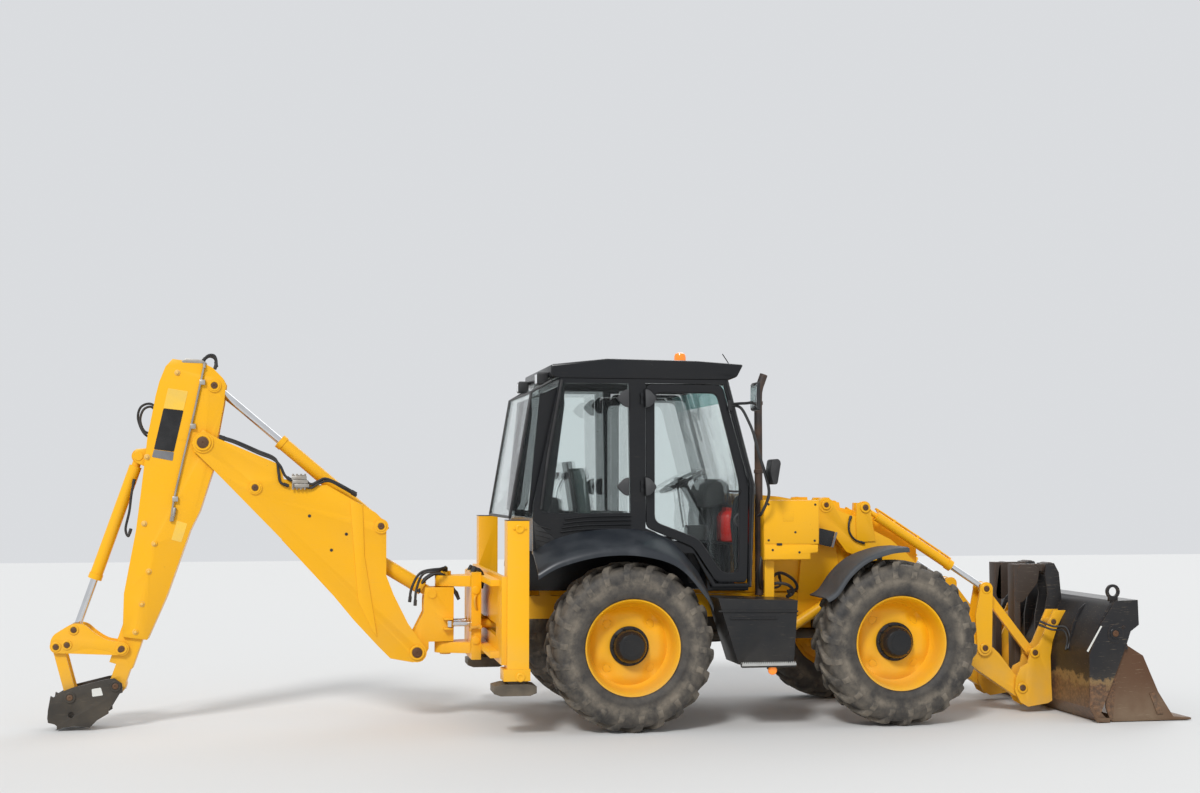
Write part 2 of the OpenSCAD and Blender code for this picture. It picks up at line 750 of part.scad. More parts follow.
post_plate = [[-30, 656], [-30, 1104], [-180, 1104], [-190, 1000], [-190, 900], [-320, 640],
              [-325, 540], [-270, 492], [-200, 500], [-146, 600], [-146, 656]];
module kingpost() color("#e8b020")
    at_post() {
        block([-31, 60], [-110, 110], [656, 1104]);
        both()
            plate(post_plate, 75, 110);
        translate([0, 0, 545])
            cylinder(r = 45, h = 690);
        rod_y(boom_foot, hoe_pin_r, -boom_y - 10, boom_y + 10);
        rod_y(boom_base, hoe_pin_r, -118, 118);
        // Ears over and under the slewing rams' eyes
        both()
            for (z = [slew_ram[1] - 48, slew_ram[1] + 32])
                translate([0, 0, z])
                    linear_extrude(height = 16)
                        polygon([[-30, 109], [-20, 168], [50, 165], [60, 109]]);
    }

boom_side = [
    [-1988, 2400], [-1872, 2333], [-1498, 2172], [-1400, 2131], [-1362, 2078], [-1343, 2003],
    [-1077, 1953], [-991, 1953], [-878, 1889], [-791, 1839], [-590, 1725], [-514, 1649],
    [-480, 1598], [-503, 1575], [-501, 1208], [-440, 1050], [-321, 813], [-180, 614], [-172, 540],
    [-200, 503], [-280, 493], [-463, 528], [-568, 634], [-764, 846], [-1089, 1240], [-1502, 1672],
    [-1913, 2088], [-2060, 2230], [-2068, 2330]];
module boom() color("#f4bc20")
    at_post()
        difference() {
            union() {
                both() {
                    plate(boom_side, boom_y - boom_t, boom_y);
                    rod_y(elbow, 84, boom_y - boom_t, boom_y + 12);
                    rod_y(boom_foot, 80, boom_y - boom_t - 8, boom_y);
                    rod_y(boom_eye, 55, boom_y - bite, boom_y + 14);
                    rod_y(dipper_base, 60, boom_y - bite, boom_y + 14);
                }
                rod_y(dipper_base, hoe_pin_r, -boom_y, boom_y);
                rod_y(elbow, hoe_pin_r, -boom_y - 20, boom_y + 20);
                along([-764, 852], [-1860, 2042])
                    block([0, 880], [-boom_y + 5, boom_y - 5], [-30, -10]);
            }
            rod_y(boom_foot, hoe_pin_r + play, -boom_y - bite, boom_y + bite);
        }
module boom_barrel() color("#e8b020")
    at_post() barrel(boom_base, boom_eye, 0, 62, 1250, 36, hoe_pin_r, 90);
module boom_rod() color("#d0d4d8")
    at_post() piston_rod(boom_base, boom_eye, 0, 36, 400, hoe_pin_r, 80);
module dipper_barrel() color("#e8b020")
    at_post() barrel(dipper_base, dipper_eye, 0, 55, 1090, 32, hoe_pin_r, 80);
module dipper_rod() color("#d0d4d8")
    at_post() piston_rod(dipper_base, dipper_eye, 0, 32, 730, hoe_pin_r, 70);

dipper_side = [
    [-2240, 2980], [-2295, 2917], [-2343, 2792], [-2372, 2668], [-2400, 2492], [-2428, 2358],
    [-2463, 1998], [-2508, 1588], [-2595, 1078], [-2600, 735], [-2409, 707], [-2264, 1048],
    [-2083, 1585], [-2010, 1739], [-1900, 2101], [-1923, 2142], [-1870, 2370], [-1827, 2620],
    [-1813, 2777], [-1839, 2828], [-1921, 2911], [-1983, 2942]];
slide_y = 80;
adjusters = [[-2357, 1484], [-2404, 1254], [-2455, 1000], [-2497, 777]];
module dipper() color("#f4bc20")
    at_post()
        difference() {
            union() {
                both()
                    plate(dipper_side, dipper_y - dipper_t, dipper_y);
                rod_y(elbow, 84, -dipper_y, dipper_y);
                // Front wall, behind which the inner dipper slides
                plate([[-2409, 707], [-2264, 1048], [-2083, 1585], [-2010, 1739], [-1900, 2101],
                       [-1935, 2110], [-2035, 1760], [-2110, 1600], [-2290, 1060], [-2430, 722]],
                      -dipper_y + dipper_t - bite, dipper_y - dipper_t + bite);
                // Upper wall
                plate([[-2295, 2917], [-2343, 2792], [-2372, 2668], [-2428, 2358], [-2408, 2358],
                       [-2352, 2665], [-2275, 2900]],
                      -dipper_y + dipper_t - bite, dipper_y - dipper_t + bite);
                // Wear pads that the inner dipper runs between
                along(elbow, tip_pin)
                    both()
                        for (x = [500, 1450])
                            block([x, x + 90], [slide_y + play, dipper_y - dipper_t + bite], [-90, 50]);
                both() {
                    rod_y(dipper_eye, 55, dipper_y - bite, dipper_y + 12);
                    for (p = adjusters)
                        rod_y(p, 18, dipper_y - dipper_t - 7, dipper_y + 12);
                }
            }
            rod_y(elbow, hoe_pin_r + play, -dipper_y - bite, dipper_y + bite);
        }

module inner_dipper() color("#f4bc20")
    at_post()
        difference() {
            union() {
                along(elbow, tip_pin) {
                    block([200, 1900], [-slide_y, slide_y], [-115, 72]);
                    block([1890, 2050], [-slide_y, slide_y], [-60, 60]);
                }
                rod_y(tip_pin, 72, -slide_y - boss, slide_y + boss);
                rod_y(lever_hinge, 58, -slide_y - boss, slide_y + boss);
                rod_y(lever_hinge, hoe_pin_r, -120, 120);
                // Ears of the coupler ram
                both()
                    plate([[-2120, 2080], [-2400, 2255], [-2520, 2245], [-2556, 2188],
                           [-2520, 2135], [-2400, 2080], [-2280, 1700]], 40, 72);
                rod_y(coupler_base, hoe_pin_r, -78, 78);
            }
            rod_y(tip_pin, hoe_pin_r + play, -90, 90);
        }

module coupler_barrel() color("#e8b020")
    at_post() barrel(coupler_base, lever_eye, 0, 50, 1048, 30, hoe_pin_r, 70);
module coupler_rod() color("#d0d4d8")
    at_post() piston_rod(coupler_base, lever_eye, 0, 30, 500, hoe_pin_r, 60);

module coupler_lever() color("#f4bc20")
    at_post() both()
        difference() {
            union() {
                bar(lever_hinge, lever_pin, 110, 90, 115);
                bar([-2870, 660], lever_eye, 100, 91, 114);
            }
            rod_y(lever_hinge, hoe_pin_r + play, 80, 120);
        }

module coupler_link() color("#f4bc20")
    at_post() both()
        difference() {
            bar(lever_pin, tip_link_pin, 90, 62, 82);
            rod_y(lever_pin, hoe_pin_r, 50, 100);
            rod_y(tip_link_pin, hoe_pin_r + play, 50, 100);
        }

coupler_side = [
    [-3122, 268], [-3040, 317], [-2982, 340], [-2729, 400], [-2655, 409], [-2595, 367],
    [-2589, 296], [-2624, 282], [-2696, 157], [-2695, 132], [-2783, 79], [-2836, 25],
    [-2958, 38], [-3040, 28], [-3089, 12], [-3089, 42], [-3109, 57], [-3157, 69],
    [-3163, 104], [-3159, 169], [-3141, 279]];
module coupler() color("#2c2c2c")
    at_post() {
        both()
            difference() {
                plate(coupler_side, coupler_y - 25, coupler_y);
                rod_y(lock_bore, 25, coupler_y - 30, coupler_y + bite);
            }
        rod_y(tip_pin, hoe_pin_r, -coupler_y - 8, coupler_y + 8);
        rod_y(tip_link_pin, hoe_pin_r, -coupler_y - 8, coupler_y + 8);
        block([-3120, -2850], [-coupler_y + 24, coupler_y - 24], [60, 90]);
    }

// The handed parts
module tyre_at(name) color("#3a3834") at_wheel(name) tyre();
module rim_at(name) color("#f2b81c") at_wheel(name) rim();
module knuckle_at(name) color("#2c2c2c") at_wheel(name) knuckle();
module mudguard_left() color("#3a4046") mudguard();
module mudguard_right() color("#3a4046") mirror([0, 1, 0]) mudguard();
module door_left() color("#18191a") door();
module door_right() color("#18191a") mirror([0, 1, 0]) door();
module leg_left() leg();
module leg_right() mirror([0, 1, 0]) leg();
module slew_rod_left() slew_rod();
module slew_rod_right() mirror([0, 1, 0]) slew_rod();

translate([rear_axle_x, 0, 0]) {
    chassis();
    rear_frame();
    engine();
    axles();
    knuckle_at("fl");  // knuckle_fl
    knuckle_at("fr");  // knuckle_fr
    knuckle_at("rl");  // knuckle_rl
    knuckle_at("rr");  // knuckle_rr
    tyre_at("fl");  // tyre_fl
    tyre_at("fr");  // tyre_fr
    tyre_at("rl");  // tyre_rl
    tyre_at("rr");  // tyre_rr
    rim_at("fl");  // rim_fl
    rim_at("fr");  // rim_fr
    rim_at("rl");  // rim_rl
    rim_at("rr");  // rim_rr
    mudguard_left();  // mudguard_fl
    mudguard_right();  // mudguard_fr
    fenders();
    step_boxes();
    side_boxes();
    hood();
    cab_tub();
    cab_frame();
    cab_roof();
    cab_glass();
    door_left();
    door_right();
    seat();
    exhaust();
    cab_fittings();
    loader_arms();
    lift_barrels();
    lift_rods();
    tilt_levers();
    tilt_barrels();
    tilt_rods();
    tilt_links();
    hitch();
    bucket_back();
    bucket_jaw();
    forks();
    carriage();
    slew_rod_left();
    slew_rod_right();
    kingpost();
    boom();
    boom_barrel();
    boom_rod();
    dipper();
    dipper_barrel();
    dipper_rod();
    inner_dipper();
    coupler_lever();
    coupler_link();
    coupler();
    coupler_barrel();
    coupler_rod();
    leg_left();
    leg_right();
}
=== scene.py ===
import json
import math
import bmesh
import bpy
from mathutils import Matrix, Vector

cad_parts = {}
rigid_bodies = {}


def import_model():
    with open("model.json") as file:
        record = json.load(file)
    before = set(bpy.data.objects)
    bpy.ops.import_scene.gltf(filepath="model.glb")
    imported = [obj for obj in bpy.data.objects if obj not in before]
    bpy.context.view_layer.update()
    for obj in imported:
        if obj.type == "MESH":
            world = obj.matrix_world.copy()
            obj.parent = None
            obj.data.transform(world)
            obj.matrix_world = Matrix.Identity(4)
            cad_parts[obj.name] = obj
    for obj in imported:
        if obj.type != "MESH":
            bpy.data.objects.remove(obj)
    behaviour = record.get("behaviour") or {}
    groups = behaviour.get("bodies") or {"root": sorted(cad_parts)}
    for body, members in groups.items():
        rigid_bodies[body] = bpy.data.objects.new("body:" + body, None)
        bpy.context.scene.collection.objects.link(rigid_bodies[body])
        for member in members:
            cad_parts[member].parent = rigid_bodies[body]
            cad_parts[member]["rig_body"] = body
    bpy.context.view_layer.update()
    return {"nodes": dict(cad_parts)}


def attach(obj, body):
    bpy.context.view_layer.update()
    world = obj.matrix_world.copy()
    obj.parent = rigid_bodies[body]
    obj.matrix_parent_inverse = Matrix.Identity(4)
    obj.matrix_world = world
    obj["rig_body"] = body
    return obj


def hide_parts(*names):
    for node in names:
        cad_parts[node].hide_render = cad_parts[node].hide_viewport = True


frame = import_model()
nodes = frame["nodes"]
print("frame loaded with", len(nodes), "nodes")


# Places are in metres. The part's source gives some in millimetres from the rear axle,
# the front axle or the slewing axis, and those are turned into metres here.
starts = {"rear": -0.08, "front": 2.14, "post": -1.47}


def outline(start, points):
    return [(starts[start] + x / 1000, z / 1000) for x, z in points]


# Camera, at the photograph's place
cameraPlan = {"place": (-2.6389, -13.9228, 1.9419), "lens": 49.53, "yaw": -0.1766, "pitch": 0.0544}


def makeCamera(plan):
    data = bpy.data.cameras.new("sideCamera")
    data.sensor_width = 36
    data.lens = plan["lens"]
    data.clip_end = 200
    camera = bpy.data.objects.new("sideCamera", data)
    bpy.context.scene.collection.objects.link(camera)
    yaw, pitch = plan["yaw"], plan["pitch"]
    right = Vector((math.cos(yaw), math.sin(yaw), 0))
    level = Vector((-math.sin(yaw), math.cos(yaw), 0))
    ahead = level * math.cos(pitch) + Vector((0, 0, 1)) * math.sin(pitch)
    turn = Matrix((right, right.cross(ahead), -ahead)).transposed()
    camera.matrix_world = Matrix.Translation(plan["place"]) @ turn.to_4x4()
    bpy.context.scene.camera = camera


makeCamera(cameraPlan)
print("camera set")


# Node helpers. A value is a number, a colour or another node's socket.
gridRows, gridStep = 6, (220, 190)


def addNode(tree, kind, **settings):
    # New nodes are laid out on a grid, so that a tree can be read in the editor
    column, row = divmod(len(tree.nodes), gridRows)
    n = tree.nodes.new(kind)
    n.location = (column * gridStep[0], -row * gridStep[1])
    for key, value in settings.items():
        setattr(n, key, value)
    return n


def isSocket(value):
    return isinstance(value, bpy.types.NodeSocket)


def feedAt(inputs, *values):
    for socket, value in zip(inputs, values):
        if isSocket(value):
            socket.id_data.links.new(value, socket)
        else:
            socket.default_value = value


def feed(inputs, **values):
    # An underscore in a key stands for a space in the socket's name
    feedAt([inputs[key.replace("_", " ")] for key in values], *values.values())


def mathNode(operation, a, b, clamp):
    tree = (a if isSocket(a) else b).id_data
    n = addNode(tree, "ShaderNodeMath", operation=operation, use_clamp=clamp)
    feedAt(n.inputs, a, b)
    return n.outputs[0]


def plus(a, b, clamp=False):
    return mathNode("ADD", a, b, clamp)


def minus(a, b):
    return mathNode("SUBTRACT", a, b, False)


def times(a, b, clamp=False):
    return mathNode("MULTIPLY", a, b, clamp)


def mixColour(factor, first, second):
    n = addNode(factor.id_data, "ShaderNodeMix", data_type="RGBA", blend_type="MIX")
    feedAt((n.inputs[0], n.inputs[6], n.inputs[7]), factor, first, second)
    return n.outputs[2]


def noise(vector, scale, detail=4.0, roughness=0.55):
    n = addNode(vector.id_data, "ShaderNodeTexNoise")
    feed(n.inputs, Vector=vector, Scale=scale, Detail=detail, Roughness=roughness)
    return n.outputs["Fac"]


def ramp(value, low, high, start=0.0, end=1.0):
    n = addNode(value.id_data, "ShaderNodeMapRange", interpolation_type="SMOOTHSTEP")
    feed(n.inputs, Value=value, From_Min=low, From_Max=high, To_Min=start, To_Max=end)
    return n.outputs[0]


def objectCoords(tree):
    return addNode(tree, "ShaderNodeTexCoord").outputs["Object"]


def heightOf(coords):
    n = addNode(coords.id_data, "ShaderNodeSeparateXYZ")
    feedAt(n.inputs, coords)
    return n.outputs[2]


def stretched(coords, scale, turn=(0, 0, 0)):
    n = addNode(coords.id_data, "ShaderNodeMapping")
    feed(n.inputs, Vector=coords, Scale=scale, Rotation=turn)
    return n.outputs[0]


def startGroup(name, inputs):
    # Each group gives out a colour, a roughness and a height
    group = bpy.data.node_groups.new(name, "ShaderNodeTree")
    floatKind, colourKind = "NodeSocketFloat", "NodeSocketColor"
    for label, value in inputs.items():
        kind = floatKind if isinstance(value, float) else colourKind
        group.interface.new_socket(name=label, in_out="INPUT", socket_type=kind).default_value = value
    for label, kind in (("Color", colourKind), ("Roughness", floatKind), ("Height", floatKind)):
        group.interface.new_socket(name=label, in_out="OUTPUT", socket_type=kind)
    return group, addNode(group, "NodeGroupInput").outputs, addNode(group, "NodeGroupOutput").inputs


def wornPaintGroup():
    # Paint with cloudy fading, fine scratches, chips to another colour and dust low down
    group, ins, outs = startGroup("wornPaint", {
        "Paint": (0.9, 0.5, 0.02, 1), "Chip": (0.08, 0.05, 0.03, 1), "Dust": (0.36, 0.29, 0.2, 1),
        "Gloss": 0.35, "Chip Amount": 0.1, "Scratch Amount": 0.3, "Dust Amount": 0.4,
        "Dust Top": 1.2, "Edge Width": 0.006})
    coords = objectCoords(group)
    cloud, fine, grit = noise(coords, 2.3, 5), noise(coords, 42, 6, 0.7), noise(coords, 190, 3, 0.6)
    streak = noise(stretched(coords, (9, 60, 150), (0.3, 0.5, 0.2)), 1.0, 3, 0.65)
    bevel = addNode(group, "ShaderNodeBevel", samples=3)
    feed(bevel.inputs, Radius=ins["Edge Width"])
    facing = addNode(group, "ShaderNodeVectorMath", operation="DOT_PRODUCT")
    feedAt(facing.inputs, bevel.outputs[0], addNode(group, "ShaderNodeNewGeometry").outputs["Normal"])
    edge = times(ramp(facing.outputs["Value"], 0.995, 0.88), ramp(fine, 0.42, 0.58))
    spots = ramp(plus(fine, times(cloud, 0.35)), 0.86, 0.93)
    chips = times(plus(spots, edge, True), ins["Chip Amount"], True)
    scratches = times(ramp(streak, 0.62, 0.72), ins["Scratch Amount"])
    lowDown = ramp(heightOf(coords), 0.0, ins["Dust Top"], 1.0, 0.0)
    patchy = ramp(cloud, 0.3, 0.75)
    dusty = times(times(lowDown, plus(patchy, 0.25)), ins["Dust Amount"], True)
    faded = mixColour(times(patchy, times(ins["Dust Amount"], 0.18)), ins["Paint"], ins["Dust"])
    scratched = mixColour(times(scratches, 0.5), faded, ins["Dust"])
    dusted = mixColour(dusty, scratched, ins["Dust"])
    mess = plus(plus(dusty, chips), times(fine, 0.25))
    feed(outs, Color=mixColour(chips, dusted, ins["Chip"]),
         Roughness=plus(ins["Gloss"], times(mess, 0.4), True),
         Height=minus(times(grit, 0.15), plus(chips, times(scratches, 0.4))))
    return group


def grainGroup():
    # Moulded plastic, rubber, cloth and metal share one grain: two noises and a dusty bloom
    group, ins, outs = startGroup("mouldedGrain", {
        "Base": (0.05, 0.05, 0.05, 1), "Bloom": (0.2, 0.19, 0.17, 1),
        "Bloom Amount": 0.3, "Grain Scale": 300.0, "Gloss": 0.6})
    coords = objectCoords(group)
    cloud, grain = noise(coords, 5.5, 6, 0.6), noise(coords, ins["Grain Scale"], 2, 0.5)
    scuffs = ramp(noise(stretched(coords, (14, 30, 120)), 1.0, 4, 0.7), 0.6, 0.72)
    amount = times(plus(ramp(cloud, 0.38, 0.7), times(scuffs, 0.35)), ins["Bloom Amount"], True)
    feed(outs, Color=mixColour(amount, ins["Base"], ins["Bloom"]),
         Roughness=plus(ins["Gloss"], times(amount, 0.3), True), Height=grain)
    return group


wornPaint, mouldedGrain = wornPaintGroup(), grainGroup()
print("shader groups ready")


def newMaterial(name, **values):
    material = bpy.data.materials.new(name)
    material.use_nodes = True
    shader = material.node_tree.nodes["Principled BSDF"]
    feed(shader.inputs, **values)
    return material, shader


def addBump(shader, height, strength, distance):
    bump = addNode(shader.id_data, "ShaderNodeBump")
    feed(bump.inputs, Height=height, Strength=strength, Distance=distance)
    feed(shader.inputs, Normal=bump.outputs[0])


def groupMaterial(name, group, settings, bumpStrength, bumpDistance, **values):
    material, shader = newMaterial(name, **values)
    effect = addNode(material.node_tree, "ShaderNodeGroup", node_tree=group)
    feed(effect.inputs, **settings)
    feed(shader.inputs, Base_Color=effect.outputs["Color"], Roughness=effect.outputs["Roughness"])
    addBump(shader, effect.outputs["Height"], bumpStrength, bumpDistance)
    return material


# Colours of the paint and its chips, then gloss, chips, scratches, dust and the dust's height
paints = {
    "yellowPaint": ((0.9, 0.445, 0.006), (0.11, 0.055, 0.03), 0.27, 0.3, 0.22, 0.3, 1.1),
    "blackPaint": ((0.014, 0.015, 0.017), (0.1, 0.075, 0.055), 0.3, 0.22, 0.25, 0.16, 0.9),
    "cabPaint": ((0.011, 0.012, 0.014), (0.05, 0.05, 0.05), 0.2, 0.03, 0.05, 0.05, 1.4),
    "chassisPaint": ((0.028, 0.026, 0.024), (0.1, 0.07, 0.045), 0.45, 0.3, 0.3, 0.55, 1.3),
    "wornSteel": ((0.1, 0.048, 0.024), (0.24, 0.12, 0.05), 0.5, 0.7, 0.8, 0.3, 0.4),
    "bucketBlack": ((0.016, 0.016, 0.018), (0.16, 0.09, 0.05), 0.32, 0.5, 0.8, 0.25, 0.5),
    "bucketSteel": ((0.02, 0.019, 0.019), (0.24, 0.13, 0.06), 0.4, 0.5, 0.8, 0.25, 0.4),
    "forkSteel": ((0.05, 0.037, 0.03), (0.22, 0.1, 0.05), 0.42, 0.8, 0.6, 0.2, 0.7),
    "palePaint": ((0.82, 0.5, 0.12), (0.3, 0.25, 0.2), 0.4, 0.5, 0.4, 0.3, 1.0),
}


def makePaint(name):
    base, chip, gloss, chips, scratch, dust, dustTop = paints[name]
    return groupMaterial(name, wornPaint, {
        "Paint": (*base, 1), "Chip": (*chip, 1), "Gloss": gloss, "Chip Amount": chips,
        "Scratch Amount": scratch, "Dust Amount": dust, "Dust Top": dustTop},
        0.25, 0.0012, Specular_IOR_Level=0.28)


# Colours of the surface and its bloom, then the bloom's amount, the grain's scale and gloss
grains = {
    "fenderPlastic": ((0.017, 0.021, 0.027), (0.075, 0.082, 0.09), 0.3, 260.0, 0.36),
    "guardPlastic": ((0.04, 0.045, 0.051), (0.1, 0.105, 0.11), 0.35, 260.0, 0.6),
    "trimPlastic": ((0.012, 0.012, 0.013), (0.08, 0.08, 0.08), 0.3, 400.0, 0.45),
    "hoseRubber": ((0.011, 0.011, 0.012), (0.09, 0.08, 0.07), 0.4, 500.0, 0.5),
    "seatCloth": ((0.1, 0.13, 0.125), (0.2, 0.23, 0.22), 0.5, 900.0, 0.85),
    "dashPlastic": ((0.035, 0.036, 0.038), (0.11, 0.11, 0.11), 0.35, 500.0, 0.6),
    "rawSteel": ((0.5, 0.48, 0.44), (0.26, 0.21, 0.16), 0.6, 240.0, 0.38),
    "stepAluminium": ((0.62, 0.62, 0.6), (0.28, 0.25, 0.2), 0.45, 300.0, 0.3),
    "burntPipe": ((0.028, 0.022, 0.02), (0.12, 0.065, 0.04), 0.7, 180.0, 0.55),
    "blankPlate": ((0.008, 0.008, 0.009), (0.06, 0.06, 0.06), 0.25, 700.0, 0.25),
    "redEnamel": ((0.62, 0.018, 0.012), (0.35, 0.05, 0.04), 0.3, 700.0, 0.25),
    "palePlate": ((0.68, 0.68, 0.64), (0.35, 0.32, 0.27), 0.4, 600.0, 0.4),
    "yellowLabel": ((0.9, 0.56, 0.06), (0.5, 0.4, 0.2), 0.2, 700.0, 0.3),
    "greyLabel": ((0.16, 0.16, 0.17), (0.3, 0.3, 0.3), 0.3, 700.0, 0.3),
    "lockYellow": ((0.85, 0.42, 0.012), (0.25, 0.16, 0.07), 0.5, 300.0, 0.4),
    "chromeRod": ((0.72, 0.73, 0.75), (0.45, 0.42, 0.38), 0.25, 240.0, 0.12),
}
metals = ("rawSteel", "stepAluminium", "chromeRod")


def makeGrain(name):
    base, bloom, amount, scale, gloss = grains[name]
    return groupMaterial(name, mouldedGrain, {
        "Base": (*base, 1), "Bloom": (*bloom, 1), "Bloom Amount": amount, "Grain Scale": scale,
        "Gloss": gloss}, 0.2, 0.0008, Metallic=1.0 if name in metals else 0.0)


def makeTyreRubber():
    # The dust value is painted on the mesh: high on lug tops and shoulders
    material, shader = newMaterial("tyreRubber")
    coords = objectCoords(material.node_tree)
    painted = addNode(material.node_tree, "ShaderNodeAttribute", attribute_name="dust").outputs["Fac"]
    cloud, grain = noise(coords, 7.0, 6, 0.65), noise(coords, 160.0, 4, 0.65)
    spread = times(painted, ramp(cloud, 0.25, 0.72), True)
    spread = plus(spread, times(ramp(grain, 0.5, 0.75), 0.1), True)
    feed(shader.inputs, Roughness=plus(0.6, times(spread, 0.3)),
         Base_Color=mixColour(spread, (0.02, 0.019, 0.019, 1), (0.235, 0.2, 0.155, 1)))
    addBump(shader, grain, 0.35, 0.0015)
    return material


def makeGlass(name, tint, alpha):
    return newMaterial(name, Base_Color=(*tint, 1), Roughness=0.02, Transmission_Weight=1.0,
                       IOR=1.35, Alpha=alpha)[0]


def makeLamp(name, tint, glow):
    return newMaterial(name, Base_Color=(*tint, 1), Roughness=0.12, Coat_Weight=0.6,
                       Emission_Color=(*tint, 1), Emission_Strength=glow)[0]


finishes = {name: makePaint(name) for name in paints}
finishes.update({name: makeGrain(name) for name in grains})
finishes["tyreRubber"] = makeTyreRubber()
finishes["cabGlass"] = makeGlass("cabGlass", (0.72, 0.84, 0.82), 0.42)
finishes["tealStrip"] = makeGlass("tealStrip", (0.12, 0.42, 0.4), 0.75)
finishes["amberLens"] = makeLamp("amberLens", (0.95, 0.24, 0.01), 0.35)
finishes["clearLens"] = makeLamp("clearLens", (0.8, 0.82, 0.84), 0.0)


def addRust(name, border):
    # Below a ragged border the paint has gone: an ochre line, then rust and bright scrapes
    tree = finishes[name].node_tree
    effect = next(n for n in tree.nodes if n.type == "GROUP")
    coords = objectCoords(tree)
    ragged, fine = noise(coords, 6.0, 8, 0.72), noise(coords, 34.0, 6, 0.7)
    height = plus(heightOf(coords), times(plus(ragged, times(fine, 0.35)), 0.34))
    rusted = ramp(height, border + 0.13, border + 0.17, 1.0, 0.0)
    deep = ramp(height, border + 0.06, border + 0.13, 1.0, 0.0)
    rust = mixColour(ramp(fine, 0.35, 0.7), (0.055, 0.026, 0.017, 1), (0.2, 0.092, 0.04, 1))
    line = mixColour(deep, (0.22, 0.135, 0.055, 1), rust)
    feed(effect.inputs, Paint=mixColour(rusted, effect.inputs["Paint"].default_value[:], line))


addRust("bucketBlack", 0.44)
addRust("bucketSteel", 0.58)
print("materials ready:", len(finishes))

# Nodes whose shape is right keep it and get a finish. All others are replaced by a piece.
nodeFinish = {
    "yellowPaint": "lift_barrels tilt_levers tilt_barrels tilt_links boom_barrel dipper_barrel "
                   "coupler_lever coupler_link coupler_barrel chassis",
    "chassisPaint": "axles engine", "cabPaint": "knuckle_fl knuckle_fr knuckle_rl knuckle_rr",
    "chromeRod": "lift_rods tilt_rods boom_rod dipper_rod coupler_rod slew_rod_left slew_rod_right",
    "cabGlass": "cab_glass"}
for finish, names in nodeFinish.items():
    for name in names.split():
        mesh = nodes[name].data
        mesh.materials.clear()
        mesh.materials.append(finishes[finish])


# Mesh helpers: each adds to a bmesh, and piece() turns that into an object
def joinRings(bm, rings, ends="capped"):
    # Faces between neighbouring rings. A ring of one point closes as a fan.
    if ends == "closed":
        rings = rings + rings[:1]
    for first, second in zip(rings, rings[1:]):
        a, b = len(first), len(second)
        for k in range(max(a, b)):
            j = k + 1
            corners = (first[k % a], first[j % a], second[j % b], second[k % b])
            bm.faces.new(tuple(dict.fromkeys(corners)))
    if ends == "capped":
        for ring in (rings[0], rings[-1]):
            if len(ring) > 1:
                bm.faces.new(ring)


def addPrism(bm, points, y0, y1):
    joinRings(bm, [[bm.verts.new((x, y, z)) for x, z in points] for y in (y0, y1)])


def addBlock(bm, x, y, z):
    addPrism(bm, [(x[0], z[0]), (x[1], z[0]), (x[1], z[1]), (x[0], z[1])], y[0], y[1])


def circle(sides, start=0.0):
    return [start + 2 * math.pi * k / sides for k in range(sides)]


def addLathe(bm, profile, centre, axis=(0, 0, 1), sides=32):
    # profile holds (distance along the axis, radius)
    axis, centre = Vector(axis).normalized(), Vector(centre)
    across = axis.orthogonal().normalized()
    other = axis.cross(across)
    rings = []
    for along, radius in profile:
        angles = circle(sides) if radius > 1e-6 else [0.0]
        spot = centre + axis * along
        rings.append([bm.verts.new(spot + (across * math.cos(a) + other * math.sin(a)) * radius)
                      for a in angles])
    joinRings(bm, rings)


def addShaft(bm, start, end, radius, sides=24):
    start, end = Vector(start), Vector(end)
    length = (end - start).length
    cut = min(radius * 0.12, length * 0.3)
    addLathe(bm, [(0, radius - cut), (cut, radius), (length - cut, radius), (length, radius - cut)],
             start, end - start, sides)


def addBolt(bm, place, direction, radius, height):
    addLathe(bm, [(0, radius * 1.35), (height * 0.25, radius * 1.35), (height * 0.25, radius),
                  (height * 0.9, radius), (height, radius * 0.8)], place, direction, 6)


def smoothLine(points, steps=10):
    # Catmull-Rom through the given points
    points = [Vector(p) for p in points]
    line = []
    for i in range(len(points) - 1):
        a, b, c, d = points[max(i - 1, 0)], points[i], points[i + 1], points[min(i + 2, len(points) - 1)]
        for k in range(steps):
            t = k / steps
            line.append(0.5 * ((2 * b) + (c - a) * t + (2 * a - 5 * b + 4 * c - d) * t * t
                               + (3 * b - a - 3 * c + d) * t * t * t))
    return line + [points[-1]]


def addTube(bm, points, radius, sides=12, steps=0):
    # With steps, the line is rounded between its points
    line = smoothLine(points, steps) if steps else [Vector(p) for p in points]
    side = None
    rings = []
    for i, p in enumerate(line):
        ahead = (line[min(i + 1, len(line) - 1)] - line[max(i - 1, 0)]).normalized()
        side = ahead.orthogonal() if side is None else side - ahead * side.dot(ahead)
        side.normalize()
        other = ahead.cross(side)
        rings.append([bm.verts.new(p + (side * math.cos(a) + other * math.sin(a)) * radius)
                      for a in circle(sides)])
    joinRings(bm, rings)


def addHose(bm, points, radius, sides=10):
    # A hose with the bulge of a crimped sleeve at each end
    line = smoothLine(points)
    addTube(bm, line, radius, sides)
    for end, inner in ((line[0], line[1]), (line[-1], line[-2])):
        addLathe(bm, [(-0.002, radius * 0.9), (0, radius * 1.3), (radius * 4, radius * 1.3),
                      (radius * 4.4, radius)], end, inner - end, sides)


def applyModifiers(obj):
    bpy.context.view_layer.update()
    depsgraph = bpy.context.evaluated_depsgraph_get()
    mesh = bpy.data.meshes.new_from_object(obj.evaluated_get(depsgraph))
    obj.modifiers.clear()
    obj.data = mesh


def meshObject(name, bm):
    mesh = bpy.data.meshes.new(name)
    bm.to_mesh(mesh)
    bm.free()
    obj = bpy.data.objects.new(name, mesh)
    bpy.context.scene.collection.objects.link(obj)
    return obj


